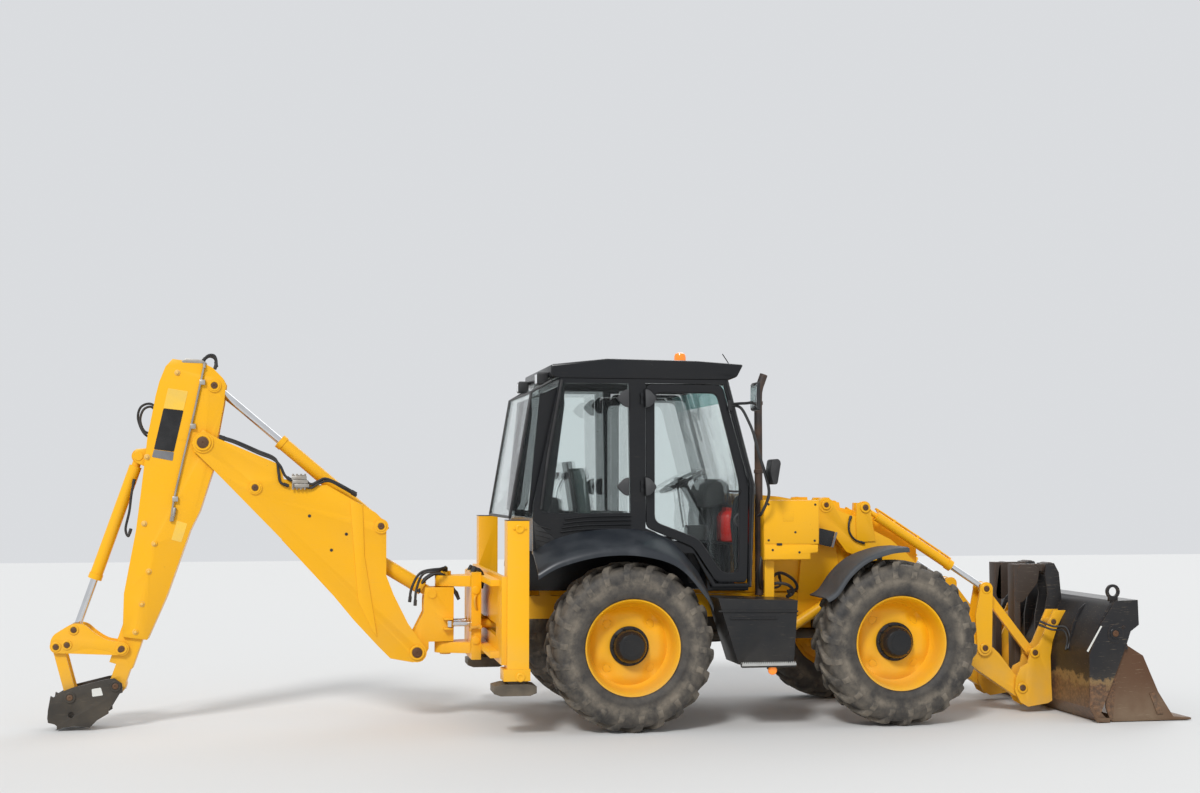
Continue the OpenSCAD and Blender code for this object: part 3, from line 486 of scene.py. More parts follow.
def piece(name, bm, finish, body="machine", bevel=0, segments=2, angle=35, stands=(), subdivide=0):
    bmesh.ops.recalc_face_normals(bm, faces=bm.faces)
    obj = meshObject(name, bm)
    if subdivide:
        modifier = obj.modifiers.new("round", "SUBSURF")
        modifier.levels = modifier.render_levels = subdivide
    if bevel:
        modifier = obj.modifiers.new("edges", "BEVEL")
        modifier.width = bevel
        modifier.segments = segments
        modifier.limit_method = "ANGLE"
        modifier.angle_limit = math.radians(angle)
    if obj.modifiers:
        applyModifiers(obj)
    obj.data.materials.clear()
    obj.data.materials.append(finishes[finish])
    for polygon in obj.data.polygons:
        polygon.use_smooth = True
    obj.data.set_sharp_from_angle(angle=math.radians(angle))
    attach(obj, body)
    if stands:
        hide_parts(*stands)
    return obj


def mirrored(build):
    for side, word in ((1, "left"), (-1, "right")):
        build(side, word)


# Tyres
tyrePlan = {"radius": 0.67, "lugs": 22, "sweep": 0.25, "lugWidth": 0.058, "turns": 132,
            "carcass": [(-0.18, 0.384), (-0.196, 0.392), (-0.208, 0.424), (-0.212, 0.44), (-0.21, 0.448),
                        (-0.219, 0.505), (-0.216, 0.56), (-0.204, 0.6), (-0.178, 0.624), (-0.12, 0.636),
                        (0, 0.64)]}
wheelPlaces = {"fl": (starts["front"], 1), "fr": (starts["front"], -1),
               "rl": (starts["rear"], 1), "rr": (starts["rear"], -1)}
wheelTrack, axleHeight = 0.9, 0.67
# Dust by the distance from the wheel's centre, from the tread inwards
dustBands = [(0.648, 0.95), (0.6, 0.55), (0.5, 0.38), (0.0, 0.3)]
shoulderAcross = 0.2188


def wheelPointOf(name):
    x, side = wheelPlaces[name]

    def wheelPoint(across, radius, angle):
        return (x + radius * math.cos(angle), side * (wheelTrack + across),
                axleHeight + radius * math.sin(angle))

    return wheelPoint


def carcassRadius(across):
    points = tyrePlan["carcass"][4:]
    for (a0, r0), (a1, r1) in zip(points, points[1:]):
        if a0 <= -across <= a1:
            return r0 + (r1 - r0) * (-across - a0) / (a1 - a0)
    return points[0][1]


def addLug(bm, wheelPoint, side, turn):
    # A lug runs from the middle out over the shoulder, with a trapezoid section
    plan = tyrePlan
    rings = []
    for s in (0.0, 0.18, 0.4, 0.62, 0.8, 0.93, 1.0):
        across = 0.01 + 0.205 * s
        angle = turn + plan["sweep"] * (s ** 0.8)
        top = plan["radius"] - 0.004 * s - 0.098 * max(0.0, (s - 0.7) / 0.3) ** 1.8
        floor = (carcassRadius(across) if s < 0.9 else 0.532 + 0.02 * (1 - s)) - 0.006
        width = plan["lugWidth"] * (0.72 + 0.34 * s)
        if s > 0.97:
            across, top = 0.2195, top - 0.008
        half, foot = width / 2 / plan["radius"], (width / 2 + 0.009) / plan["radius"]
        rings.append([bm.verts.new(wheelPoint(side * across, r, angle + d)) for r, d in
                      ((floor, -foot), (top, -half), (top, half), (floor, foot))])
    joinRings(bm, rings)


def paintDust(obj, centre):
    # Dust sits on the lugs and low on the side walls, less between the lugs
    layer = obj.data.attributes.new("dust", "FLOAT", "POINT")
    values = []
    for v in obj.data.vertices:
        r = math.hypot(v.co.x - centre[0], v.co.z - centre[1])
        shoulder = abs(abs(v.co.y) - wheelTrack) > shoulderAcross
        values.append(dustBands[0][1] if shoulder else next(dust for edge, dust in dustBands if r > edge))
    layer.data.foreach_set("value", values)


def makeTyre(name):
    wheelPoint = wheelPointOf(name)
    bm = bmesh.new()
    half = tyrePlan["carcass"]
    profile = half + [(-a, r) for a, r in reversed(half[:-1])]
    angles = circle(tyrePlan["turns"])
    joinRings(bm, [[bm.verts.new(wheelPoint(a, r, turn)) for turn in angles] for a, r in profile], "closed")
    pitch = 2 * math.pi / tyrePlan["lugs"]
    for k in range(tyrePlan["lugs"]):
        addLug(bm, wheelPoint, 1, k * pitch)
        addLug(bm, wheelPoint, -1, (k + 0.5) * pitch)
    obj = piece("lugTyre_" + name, bm, "tyreRubber", "wheel_" + name, 0.006, 2, 40,
                stands=("tyre_" + name,))
    paintDust(obj, (wheelPlaces[name][0], axleHeight))


for name in wheelPlaces:
    makeTyre(name)
print("tyres done")

# Rims with four hollows, the black planetary hub and its nuts
rimPlan = {"face": [(0.152, 0.004), (0.17, 0.008), (0.205, 0.012), (0.235, 0.012), (0.262, 0.008),
                    (0.29, -0.006), (0.312, -0.018), (0.33, 0.004), (0.34, 0.04), (0.35, 0.11),
                    (0.357, 0.148), (0.366, 0.168), (0.372, 0.178), (0.383, 0.18)],
           "back": [(0.383, -0.178), (0.36, -0.15), (0.33, -0.06), (0.24, -0.012), (0.152, -0.008)],
           "hollow": 0.04, "hollowRadius": 0.262, "hollowSpread": 0.05, "hubRadius": 0.14,
           "hubDepth": 0.149, "turns": 96}


def makeRim(name):
    wheelPoint = wheelPointOf(name)
    plan = rimPlan
    angles = circle(plan["turns"])

    def depth(radius, across, angle):
        quarter = (angle - math.pi / 4) % (math.pi / 2)
        quarter = min(quarter, math.pi / 2 - quarter) * radius
        away = ((quarter / 1.3) ** 2 + (radius - plan["hollowRadius"]) ** 2) / plan["hollowSpread"] ** 2
        return across - plan["hollow"] * math.exp(-away)

    bm = bmesh.new()
    rings = [[bm.verts.new(wheelPoint(depth(r, a, turn), r, turn)) for turn in angles]
             for r, a in plan["face"]]
    rings += [[bm.verts.new(wheelPoint(a, r, turn)) for turn in angles] for r, a in plan["back"]]
    joinRings(bm, rings, "closed")
    piece("dishRim_" + name, bm, "yellowPaint", "wheel_" + name, stands=("rim_" + name,))
    hub = bmesh.new()
    x, side = wheelPlaces[name]
    outward, origin = Vector((0, side, 0)), Vector((x, side * wheelTrack, axleHeight))
    radius, deep = plan["hubRadius"], plan["hubDepth"]
    addLathe(hub, [(0.0, 0.1), (0.002, radius + 0.018), (0.02, radius + 0.018), (0.024, radius - 0.004),
                   (0.08, radius - 0.01), (deep - 0.04, radius - 0.022), (deep - 0.018, radius - 0.04),
                   (deep - 0.01, 0.06), (deep - 0.022, 0.052), (deep - 0.022, 0.03), (deep - 0.012, 0.026),
                   (deep - 0.012, 0)], origin, outward, 60)
    for a in circle(5, 0.3):
        direction = Vector((math.cos(a), 0, math.sin(a)))
        start = origin + outward * (deep - 0.022)
        addShaft(hub, start + direction * 0.045, start + direction * 0.108 - outward * 0.012, 0.013, 10)
    for a in circle(10):
        direction = Vector((math.cos(a), 0, math.sin(a)))
        addBolt(hub, origin + direction * (radius + 0.004) + outward * 0.019, outward, 0.01, 0.022)
    piece("planetHub_" + name, hub, "cabPaint", "wheel_" + name, 0.002)


for name in wheelPlaces:
    makeRim(name)
print("rims done")

# Plain plates and castings keep their CAD shape with edges eased by these widths
easedNodes = {
    "yellowPaint": {"hood": 0.012, "side_boxes": 0.008, "loader_arms": 0.004, "hitch": 0.003, "boom": 0.004,
                    "dipper": 0.003, "inner_dipper": 0.003, "kingpost": 0.003, "rear_frame": 0.004,
                    "carriage": 0.004},
    "cabPaint": {"cab_roof": 0.016, "cab_frame": 0.006, "cab_tub": 0.004},
    "blackPaint": {"step_boxes": 0.012, "coupler": 0.003}, "forkSteel": {"forks": 0.01},
    "bucketBlack": {"bucket_back": 0.003}, "wornSteel": {"bucket_jaw": 0.003},
    "chassisPaint": {"leg_left": 0.004, "leg_right": 0.004}}
for finish, widths in easedNodes.items():
    for name, width in widths.items():
        bm = bmesh.new()
        bm.from_mesh(nodes[name].data)
        bmesh.ops.remove_doubles(bm, verts=bm.verts, dist=1e-5)
        bmesh.ops.dissolve_limit(bm, angle_limit=math.radians(1.0), verts=bm.verts, edges=bm.edges)
        piece(name + "Shell", bm, finish, nodes[name]["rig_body"], width, 2, 28, stands=(name,))
print("eased plates done")


def roundedLoop(points, radius, steps=4):
    # Each corner becomes an arc of the same number of points, so that two loops can be joined
    loop = []
    for i, corner in enumerate(points):
        before, after = Vector(points[i - 1]), Vector(points[(i + 1) % len(points)])
        corner = Vector(corner)
        a, b = (before - corner), (after - corner)
        cut = min(radius, a.length * 0.45, b.length * 0.45)
        start, end = corner + a.normalized() * cut, corner + b.normalized() * cut
        for k in range(steps + 1):
            t = k / steps
            loop.append(tuple((1 - t) ** 2 * start + 2 * t * (1 - t) * corner + t * t * end))
    return loop


# Doors: frame, seal, pane, handle, hinges under rounded covers
doorPlan = {
    "outer": outline("rear", [(166, 2772), (804, 2772), (1022, 1960), (1007, 1158), (750, 1158),
                              (558, 1448), (166, 1608)]),
    "inner": outline("rear", [(232, 2708), (758, 2708), (948, 1960), (938, 1232), (792, 1232), (602, 1512),
                              (232, 1652)]),
    "panel": outline("rear", [(938, 1232), (955, 1700), (968, 1880), (905, 1850), (870, 1640), (900, 1400),
                              (905, 1232)]),
    "outerRadius": 0.05, "innerRadius": 0.06, "y": (0.756, 0.794),
    "hingeCover": [(-0.168, 0.0), (-0.094, 0.076), (0.102, 0.076), (0.172, 0.0), (0.106, -0.072),
                   (-0.094, -0.072)],
    "hingeHeights": (2.653, 1.938), "vent": (0.878, 1.665),
    "handle": [(0.775, 0.79, 1.905), (0.79, 0.806, 1.902), (0.83, 0.812, 1.9), (0.862, 0.806, 1.902),
               (0.875, 0.79, 1.905)]}


def makeDoor(side, word):
    plan, body = doorPlan, "door_" + word
    outer = roundedLoop(plan["outer"], plan["outerRadius"])
    inner = roundedLoop(plan["inner"], plan["innerRadius"])
    near, far = plan["y"]
    bm = bmesh.new()
    joinRings(bm, [[bm.verts.new((x, side * y, z)) for x, z in loop] for loop, y in
                   ((outer, near), (outer, far), (inner, far), (inner, near))], "closed")
    # Lower panel with the round vent's dish
    addPrism(bm, roundedLoop(plan["panel"], 0.04), side * near, side * (near + 0.012))
    piece("doorFrame_" + word, bm, "cabPaint", body, 0.005, stands=(body,))
    pane = bmesh.new()
    addPrism(pane, inner, side * (far - 0.024), side * (far - 0.018))
    piece("doorPane_" + word, pane, "cabGlass", body)
    seal = bmesh.new()
    addTube(seal, [(x, side * (far - 0.014), z) for x, z in inner + inner[:1]], 0.007, 6)
    piece("doorSeal_" + word, seal, "trimPlastic", body)
    trim = bmesh.new()
    addLathe(trim, [(0, 0.06), (0.012, 0.06), (0.016, 0.052), (0.012, 0.04), (0.006, 0.034), (0.006, 0)],
             (plan["vent"][0], side * (near + 0.01), plan["vent"][1]), (0, side, 0))
    addTube(trim, [(x, side * y, z) for x, y, z in plan["handle"]], 0.009, 8, 4)
    piece("doorHandle_" + word, trim, "trimPlastic", body, 0.002)
    # One part of each hinge cover rides with the door, the other stays on the pillar
    door, pillar = bmesh.new(), bmesh.new()
    for height in plan["hingeHeights"]:
        shape = roundedLoop([(x, height + z) for x, z in plan["hingeCover"]], 0.03)
        addPrism(door, [(x, z) for x, z in shape if x >= 0.045], side * 0.8, side * 0.838)
        addPrism(pillar, [(x, z) for x, z in shape if x <= 0.04], side * 0.802, side * 0.84)
    # The covers take the lighter dash plastic: a painted highlight that sets them off from the dark pillar
    piece("hingeCover_" + word, door, "dashPlastic", body, 0.006)
    piece("pillarCover_" + word, pillar, "dashPlastic", "machine", 0.006)


mirrored(makeDoor)

# Louvres under the rear side window, and the dark corner panel behind them
louvrePlan = {"slats": 4, "y": 0.8,
              "panel": [(-0.838, 1.667), (-0.812, 1.38), (-0.69, 1.473), (-0.668, 1.524)],
              "gutters": [(0.806, outline("rear", [(-530, 2800), (-640, 2200), (-700, 1760)])),
                          (0.804, outline("rear", [(840, 2800), (1060, 1948), (1030, 1130)]))]}


def makeLouvres(side, word):
    bm = bmesh.new()
    near, far = side * (louvrePlan["y"] + 0.006), side * (louvrePlan["y"] + 0.01)
    for k in range(louvrePlan["slats"]):
        x, z = -0.62 + 0.012 * k, 1.59 + 0.034 * k
        addTube(bm, [(x, near, z - 0.014), (x + 0.18, far, z + 0.006), (-0.145, far, z + 0.012),
                     (-0.045, near, z + 0.012)], 0.009, 8, 6)
    piece("louvres_" + word, bm, "cabPaint")
    corner = bmesh.new()
    addPrism(corner, louvrePlan["panel"], side * 0.8, side * 0.806)
    for k in range(5):
        z = 1.45 + 0.038 * k
        addTube(corner, [(-0.815, side * 0.808, z + 0.03), (-0.7, side * 0.808, z)], 0.004, 6)
    piece("cornerGrille_" + word, corner, "trimPlastic", "machine", 0.002)
    gutter = bmesh.new()
    for y, line in louvrePlan["gutters"]:
        addTube(gutter, [(x, side * y, z) for x, z in line], 0.01, 8)
    piece("pillarTrim_" + word, gutter, "trimPlastic")


mirrored(makeLouvres)

# Windscreen's tinted top band, wiper and the seals of the rear window
screenPlan = {"band": [(0.767, 2.795), (0.77, 2.795), (0.81, 2.64), (0.807, 2.64)], "halfWidth": 0.7,
              "seal": outline("rear", [(-604, 2796), (-765, 2704), (-938, 1694)]), "sealWidth": 0.715}


def makeScreens(plan):
    bm = bmesh.new()
    addPrism(bm, plan["band"], -plan["halfWidth"], plan["halfWidth"])
    piece("screenBand", bm, "tealStrip")
    bm = bmesh.new()
    wide = plan["sealWidth"]
    for y in (-wide, wide):
        addTube(bm, [(x, y, z) for x, z in plan["seal"]], 0.012, 8)
    for (x, z), radius in ((plan["seal"][2], 0.012), (plan["seal"][1], 0.01)):
        addTube(bm, [(x, y, z) for y in (-wide, 0, wide)], radius, 8)
    piece("rearWindowSeal", bm, "trimPlastic")
    bm = bmesh.new()
    addTube(bm, [(1.004, -0.1, 1.78), (1.01, -0.12, 2.0), (0.955, -0.14, 2.22)], 0.006, 6, 5)
    addTube(bm, [(1.02, -0.3, 1.95), (0.945, -0.3, 2.28)], 0.008, 6)
    addTube(bm, [(1.012, -0.12, 2.02), (1.012, -0.3, 2.05)], 0.005, 6)
    piece("screenWiper", bm, "trimPlastic")


makeScreens(screenPlan)
print("doors and windows done")


# Seat: crowned cushions, from their middle, size and lean
seatPlan = {"seatCushion": ((-0.115, 0, 1.565), (0.46, 0.44, 0.12), 0.0, ("seat",)),
            "seatBack": ((-0.335, 0, 1.85), (0.12, 0.44, 0.5), 0.14, ()), "fill": 0.8,
            "shell": outline("rear", [(-296, 1600), (-378, 2150), (-350, 2154), (-272, 1600)])}


def addCushion(bm, centre, size, turn, power=0.32, cuts=10):
    # A superellipsoid, crowned between its corners
    sx, sy, sz = (v / 2 for v in size)
    lean = Matrix.Rotation(-turn, 3, "Y")
    rows = []

    def bend(v):
        return math.copysign(abs(v) ** power, v)

    for i in range(cuts + 1):
        a = -math.pi / 2 + math.pi * i / cuts
        row = []
        for b in circle(2 * cuts):
            x, y, z = (bend(math.cos(a)) * bend(math.cos(b)) * sx,
                       bend(math.cos(a)) * bend(math.sin(b)) * sy,
                       bend(math.sin(a)) * sz)
            if sz < sx:
                z *= 1 + 0.1 * (1 - (y / sy) ** 2)
            row.append(bm.verts.new(Vector(centre) + lean @ Vector((x, y, z))))
        rows.append(row)
    joinRings(bm, rows, "open")
    bmesh.ops.remove_doubles(bm, verts=bm.verts, dist=1e-5)


def makeSeat(plan):
    for name in ("seatCushion", "seatBack"):
        centre, size, turn, stands = plan[name]
        bm = bmesh.new()
        addCushion(bm, centre, size, turn)
        piece(name, bm, "seatCloth", subdivide=1, stands=stands)
    shell = bmesh.new()
    addPrism(shell, plan["shell"], -0.2, 0.2)
    addBlock(shell, (-0.34, 0.08), (-0.2, 0.2), (1.483, 1.512))
    for y in (0.228, -0.228):
        addBlock(shell, (-0.22, 0.04), (y - 0.018, y + 0.018), (1.69, 1.735))
    piece("seatShell", shell, "dashPlastic", "machine", 0.012, 3)


makeSeat(seatPlan)

# Steering wheel, console, loader and hoe levers, and the bottle on its clamp
consolePlan = {"wheelCentre": (0.56, 0.0, 1.99), "wheelRadius": 0.2, "tilt": 0.5,
               "dash": outline("rear", [(760, 1760), (800, 1960), (900, 2010), (985, 1960), (1010, 1760)]),
               "pod": outline("rear", [(-640, 1501), (-620, 1780), (-560, 1860), (-470, 1840),
                                       (-430, 1501)]),
               "podPlaces": (-0.3, 0.3), "bottle": (0.87, -0.42, 1.475)}


def makeSteering(plan):
    bm = bmesh.new()
    centre, radius = Vector(plan["wheelCentre"]), plan["wheelRadius"]
    axis = Vector((-math.sin(plan["tilt"]), 0, math.cos(plan["tilt"])))
    across = Vector((0, 1, 0))
    other = axis.cross(across)

    def onRim(a):
        return centre + (across * math.cos(a) + other * math.sin(a)) * radius

    addTube(bm, [onRim(a) for a in circle(32) + [2 * math.pi]], 0.014, 8)
    for a in circle(3, 0.5):
        rim = onRim(a)
        addTube(bm, [centre - axis * 0.03, (centre + rim) / 2 - axis * 0.02, rim], 0.011, 8)
    addShaft(bm, centre - axis * 0.05, centre + axis * 0.005, 0.045, 20)
    addShaft(bm, centre - axis * 0.52, centre - axis * 0.04, 0.035, 16)
    piece("steeringWheel", bm, "trimPlastic", "machine", 0.002)


def makeControls(plan):
    bm = bmesh.new()
    addPrism(bm, plan["dash"], -0.3, 0.3)
    addBlock(bm, (0.5, 0.66), (-0.5, -0.34), (1.14, 1.62))
    piece("dashHood", bm, "dashPlastic", "machine", 0.02, 3)
    pods, sticks = bmesh.new(), bmesh.new()
    for y in plan["podPlaces"]:
        addPrism(pods, plan["pod"], y - 0.09, y + 0.09)
        for x in (-0.65, -0.58):
            addTube(sticks, [(x, y, 1.83), (x + 0.02, y, 1.93), (x + 0.07, y * 0.95, 2.02)], 0.007, 8, 5)
            addLathe(sticks, [(-0.03, 0.012), (-0.015, 0.022), (0.02, 0.022), (0.03, 0.014)],
                     (x + 0.07, y * 0.95, 2.03), (0.3, 0, 1), 16)
    piece("hoePods", pods, "dashPlastic", "machine", 0.02, 3)
    addTube(sticks, [(0.5, -0.33, 1.6), (0.47, -0.33, 1.8), (0.45, -0.33, 1.96)], 0.009, 8, 5)
    addLathe(sticks, [(-0.03, 0.014), (-0.01, 0.024), (0.03, 0.024), (0.04, 0.014)],
             (0.447, -0.33, 1.98), (-0.1, 0, 1), 16)
    piece("leverSticks", sticks, "trimPlastic", "machine", 0.0015)
    bm = bmesh.new()
    addLathe(bm, [(0, 0.05), (0.012, 0.068), (0.21, 0.068), (0.25, 0.045), (0.262, 0.022), (0.29, 0.022)],
             plan["bottle"], sides=28)
    piece("fireBottle", bm, "redEnamel", "machine", 0.002)
    bm = bmesh.new()
    addShaft(bm, (0.87, -0.42, 1.764), (0.87, -0.42, 1.8), 0.022, 12)
    addTube(bm, [(0.89, -0.42, 1.785), (0.93, -0.44, 1.74), (0.945, -0.46, 1.62), (0.935, -0.46, 1.54)],
            0.011, 8, 6)
    addTube(bm, [(0.85, -0.42, 1.79), (0.82, -0.42, 1.82), (0.78, -0.42, 1.825)], 0.008, 8, 4)
    addBlock(bm, (0.8, 0.94), (-0.36, -0.33), (1.5, 1.7))
    addBlock(bm, (0.79, 0.95), (-0.5, -0.33), (1.455, 1.474))
    addBlock(bm, (0.85, 0.89), (-0.5, -0.33), (1.12, 1.46))
    piece("bottleClamp", bm, "trimPlastic", "machine", 0.002)


makeSteering(consolePlan)
makeControls(consolePlan)
print("cab interior done")


# Roof fittings: beacon, aerial and rear lamps; and the mirrors on their arms
fittingPlan = {
    "beacon": (0.435, -0.5, 2.97), "lamp": 0.6,
    "mirror": [(0.922, 2.56), (0.926, 2.77), (0.944, 2.786), (0.95, 2.548)],
    "mirrorFace": [(0.917, 2.572), (0.921, 2.765), (0.9225, 2.765), (0.9185, 2.572)],
    "lens": [(-0.796, 2.778), (-0.7895, 2.778), (-0.7895, 2.852), (-0.796, 2.852)],
    "lowMirror": [(1.085, 1.955), (1.06, 2.06), (1.075, 2.16), (1.13, 2.165), (1.15, 2.135), (1.12, 1.96)]}


def makeFittings(plan):
    heads, faces, lamps, lenses = bmesh.new(), bmesh.new(), bmesh.new(), bmesh.new()
    addLathe(heads, [(0, 0.06), (0.006, 0.062), (0.018, 0.056), (0.02, 0.048)], plan["beacon"])
    for side in (1, -1):
        # Two stays from the front pillar carry the mirror
        addTube(heads, [(0.8, side * 0.806, 2.615), (0.85, side * 0.86, 2.618),
                        (0.895, side * 0.93, 2.618), (0.915, side * 0.98, 2.622)], 0.012, 10, 6)
        addTube(heads, [(0.8, side * 0.806, 2.605), (0.87, side * 0.84, 2.58), (0.932, side * 0.88, 2.447),
                        (0.96, side * 0.9, 2.36)], 0.012, 10, 8)
        addBlock(heads, (0.768, 0.806), (side * 0.807 - 0.007, side * 0.807 + 0.007), (2.562, 2.648))
        addPrism(heads, roundedLoop(plan["mirror"], 0.012), side * 0.935, side * 1.145)
        addPrism(faces, plan["mirrorFace"], side * 0.945, side * 1.135)
        y = side * plan["lamp"]
        addBlock(lamps, (-0.79, -0.697), (y - 0.055, y + 0.055), (2.768, 2.862))
        addBlock(lamps, (-0.78, -0.697), (y - 0.012, y + 0.012), (2.842, 2.872))
        addPrism(lenses, plan["lens"], y - 0.045, y + 0.045)
    piece("mirrorHeads", heads, "trimPlastic", "machine", 0.006, 3, stands=("cab_fittings",))
    piece("mirrorFaces", faces, "chromeRod")
    piece("workLamps", lamps, "trimPlastic", "machine", 0.01, 3)
    piece("workLenses", lenses, "clearLens", "machine", 0.003)
    bm = bmesh.new()
    addLathe(bm, [(0.018, 0.05), (0.055, 0.049), (0.078, 0.04), (0.086, 0.022), (0.088, 0)], plan["beacon"])
    piece("beaconLens", bm, "amberLens")
    bm = bmesh.new()
    addTube(bm, [(0.862, -0.5, 2.925), (0.86, -0.5, 2.945), (0.848, -0.5, 2.98), (0.8, -0.5, 3.052)],
            0.004, 6, 5)
    addLathe(bm, [(0, 0.016), (0.012, 0.014), (0.02, 0.007)], (0.862, -0.5, 2.925), sides=16)
    piece("radioAerial", bm, "trimPlastic")
    # Second, lower mirror on the stay beside the exhaust
    bm = bmesh.new()
    addTube(bm, [(0.96, -0.9, 2.36), (1.0, -0.91, 2.2), (1.042, -0.92, 2.06), (1.078, -0.92, 1.885),
                 (1.036, -0.86, 1.73), (1.02, -0.8, 1.7)], 0.013, 10, 8)
    addPrism(bm, roundedLoop(plan["lowMirror"], 0.02), -1.03, -0.88)
    piece("lowMirror", bm, "trimPlastic", "machine", 0.008, 3)


makeFittings(fittingPlan)

# Exhaust: pipe with a bent tip and two clamps. The line holds (bend forward, height).
exhaustPlan = {"place": (1.08, -0.6), "radius": 0.033, "clamps": (2.05, 2.62),
               "line": [(0, 1.042), (0, 1.6), (0, 2.2), (0, 2.66), (0.01, 2.76), (0.03, 2.82),
                        (0.05, 2.875)]}


def makeExhaust(plan):
    bm = bmesh.new()
    (x, y), r = plan["place"], plan["radius"]
    addTube(bm, [(x + bend, y, z) for bend, z in plan["line"]], r, 28, 8)
    for z in plan["clamps"]:
        addLathe(bm, [(0, r), (0.002, r + 0.006), (0.03, r + 0.006), (0.032, r)], (x, y, z), sides=28)
    piece("exhaustPipe", bm, "burntPipe", stands=("exhaust",))


makeExhaust(exhaustPlan)
print("roof and mirrors done")


# Leg casings' bosses, bolts and caps
legPlan = {"bosses": [(-0.994, 1.614, 1.17), (-0.987, 0.471, 1.18)], "bolts": (-1.039, -0.949)}


def makeLegTrim(side, word):
    bm = bmesh.new()
    for x, z, face in legPlan["bosses"]:
        addLathe(bm, [(0, 0.036), (0.006, 0.036), (0.01, 0.03), (0.01, 0.018), (0.006, 0.016), (0.006, 0)],
                 (x, side * face, z), (0, side, 0), 28)
    for x in legPlan["bolts"]:
        addBolt(bm, (x, side * 1.17, 1.614), (0, side, 0), 0.009, 0.01)
    piece("legBolts_" + word, bm, "yellowPaint", "machine", 0.0015)
    cap = bmesh.new()
    addBlock(cap, (-1.092, -0.918), (side * 1.07 - 0.102, side * 1.07 + 0.102), (1.675, 1.681))
    piece("legCap_" + word, cap, "trimPlastic", "machine", 0.002)


mirrored(makeLegTrim)

# Pin ends: a boss and the shaft's dark end, given by body, start, point, face and radius
pinEnds = [
    ("boom", "post", (-244, 573), 0.16, 0.062), ("boom", "post", (-1988, 2298), 0.17, 0.066),
    ("boom", "post", (-547, 1614), 0.164, 0.046), ("boom", "post", (-1569, 1932), 0.164, 0.046),
    ("dipper", "post", (-1905, 2765), 0.122, 0.046), ("inner_dipper", "post", (-2604, 641), 0.12, 0.044),
    ("coupler", "post", (-2644, 348), 0.158, 0.044), ("coupler", "post", (-2993, 265), 0.158, 0.044),
    ("arms", "front", (970, 560), 0.488, 0.044), ("arms", "front", (1307, 215), 0.488, 0.046),
    ("arms", "front", (-86, 1762), 0.474, 0.044), ("machine", "front", (-430, 1785), 0.464, 0.04),
    ("hitch", "front", (1425, 513), 0.488, 0.044), ("hitch", "front", (1598, 775), 0.488, 0.042),
    ("tilt_lever", "front", (992, 1064), 0.48, 0.044), ("jaw", "front", (1815, 730), 1.178, 0.046)]


def makePinEnds():
    groups = {}
    for body, start, point, face, radius in pinEnds:
        bosses, ends = groups.setdefault(body, (bmesh.new(), bmesh.new()))
        (x, z), = outline(start, [point])
        for side in (1, -1):
            place, out = (x, side * face, z), (0, side, 0)
            addLathe(bosses, [(-0.004, radius), (0.002, radius), (0.005, radius - 0.004),
                              (0.005, radius - 0.016), (0.001, radius - 0.018), (0.001, 0)], place, out, 28)
            addLathe(ends, [(0.0, radius - 0.02), (0.007, radius - 0.02), (0.009, radius - 0.023),
                            (0.009, 0.008), (0.005, 0.007), (0.005, 0)], place, out, 24)
    for body, (bosses, ends) in groups.items():
        paint = "blackPaint" if body in ("coupler", "jaw") else "yellowPaint"
        piece("pinRings_" + body, bosses, paint, body)
        piece("pinEnds_" + body, ends, "wornSteel", body)


makePinEnds()
print("pins done")


# Plates without lettering on the dipper, the loader arm and the coupler, and blank labels
plates = [
    ("dipper", [(-3.742, 2.74), (-3.584, 2.716), (-3.618, 2.56), (-3.776, 2.577)], 0.1105, "yellowLabel"),
    ("dipper", [(-3.776, 2.575), (-3.618, 2.558), (-3.689, 2.223), (-3.847, 2.243)], 0.1105, "blankPlate"),
    ("dipper", [(-3.847, 2.24), (-3.689, 2.22), (-3.698, 2.149), (-3.861, 2.18)], 0.1105, "greyLabel"),
    ("dipper", [(-3.656, 1.665), (-3.575, 1.64), (-3.62, 1.49), (-3.7, 1.51)], 0.1105, "yellowLabel"),
    ("arms", [(1.65, 1.59), (1.79, 1.558), (1.752, 1.43), (1.648, 1.452)], 0.4505, "blankPlate"),
    ("arms", [(1.793, 1.557), (1.812, 1.553), (1.774, 1.425), (1.755, 1.429)], 0.4505, "greyLabel"),
    ("coupler", [(-4.297, 0.328), (-4.227, 0.339), (-4.209, 0.278), (-4.291, 0.268)], 0.1505, "palePlate"),
    ("machine", [(1.19, 1.735), (1.27, 1.733), (1.27, 1.655), (1.19, 1.657)], 0.7805, "yellowLabel")]


def makePlates():
    for index, (body, shape, face, finish) in enumerate(plates):
        bm = bmesh.new()
        for side in (1, -1):
            addPrism(bm, roundedLoop(shape, 0.008, 3), side * (face - 0.001), side * (face + 0.0012))
        piece("plate%02d" % index, bm, finish, body)


makePlates()

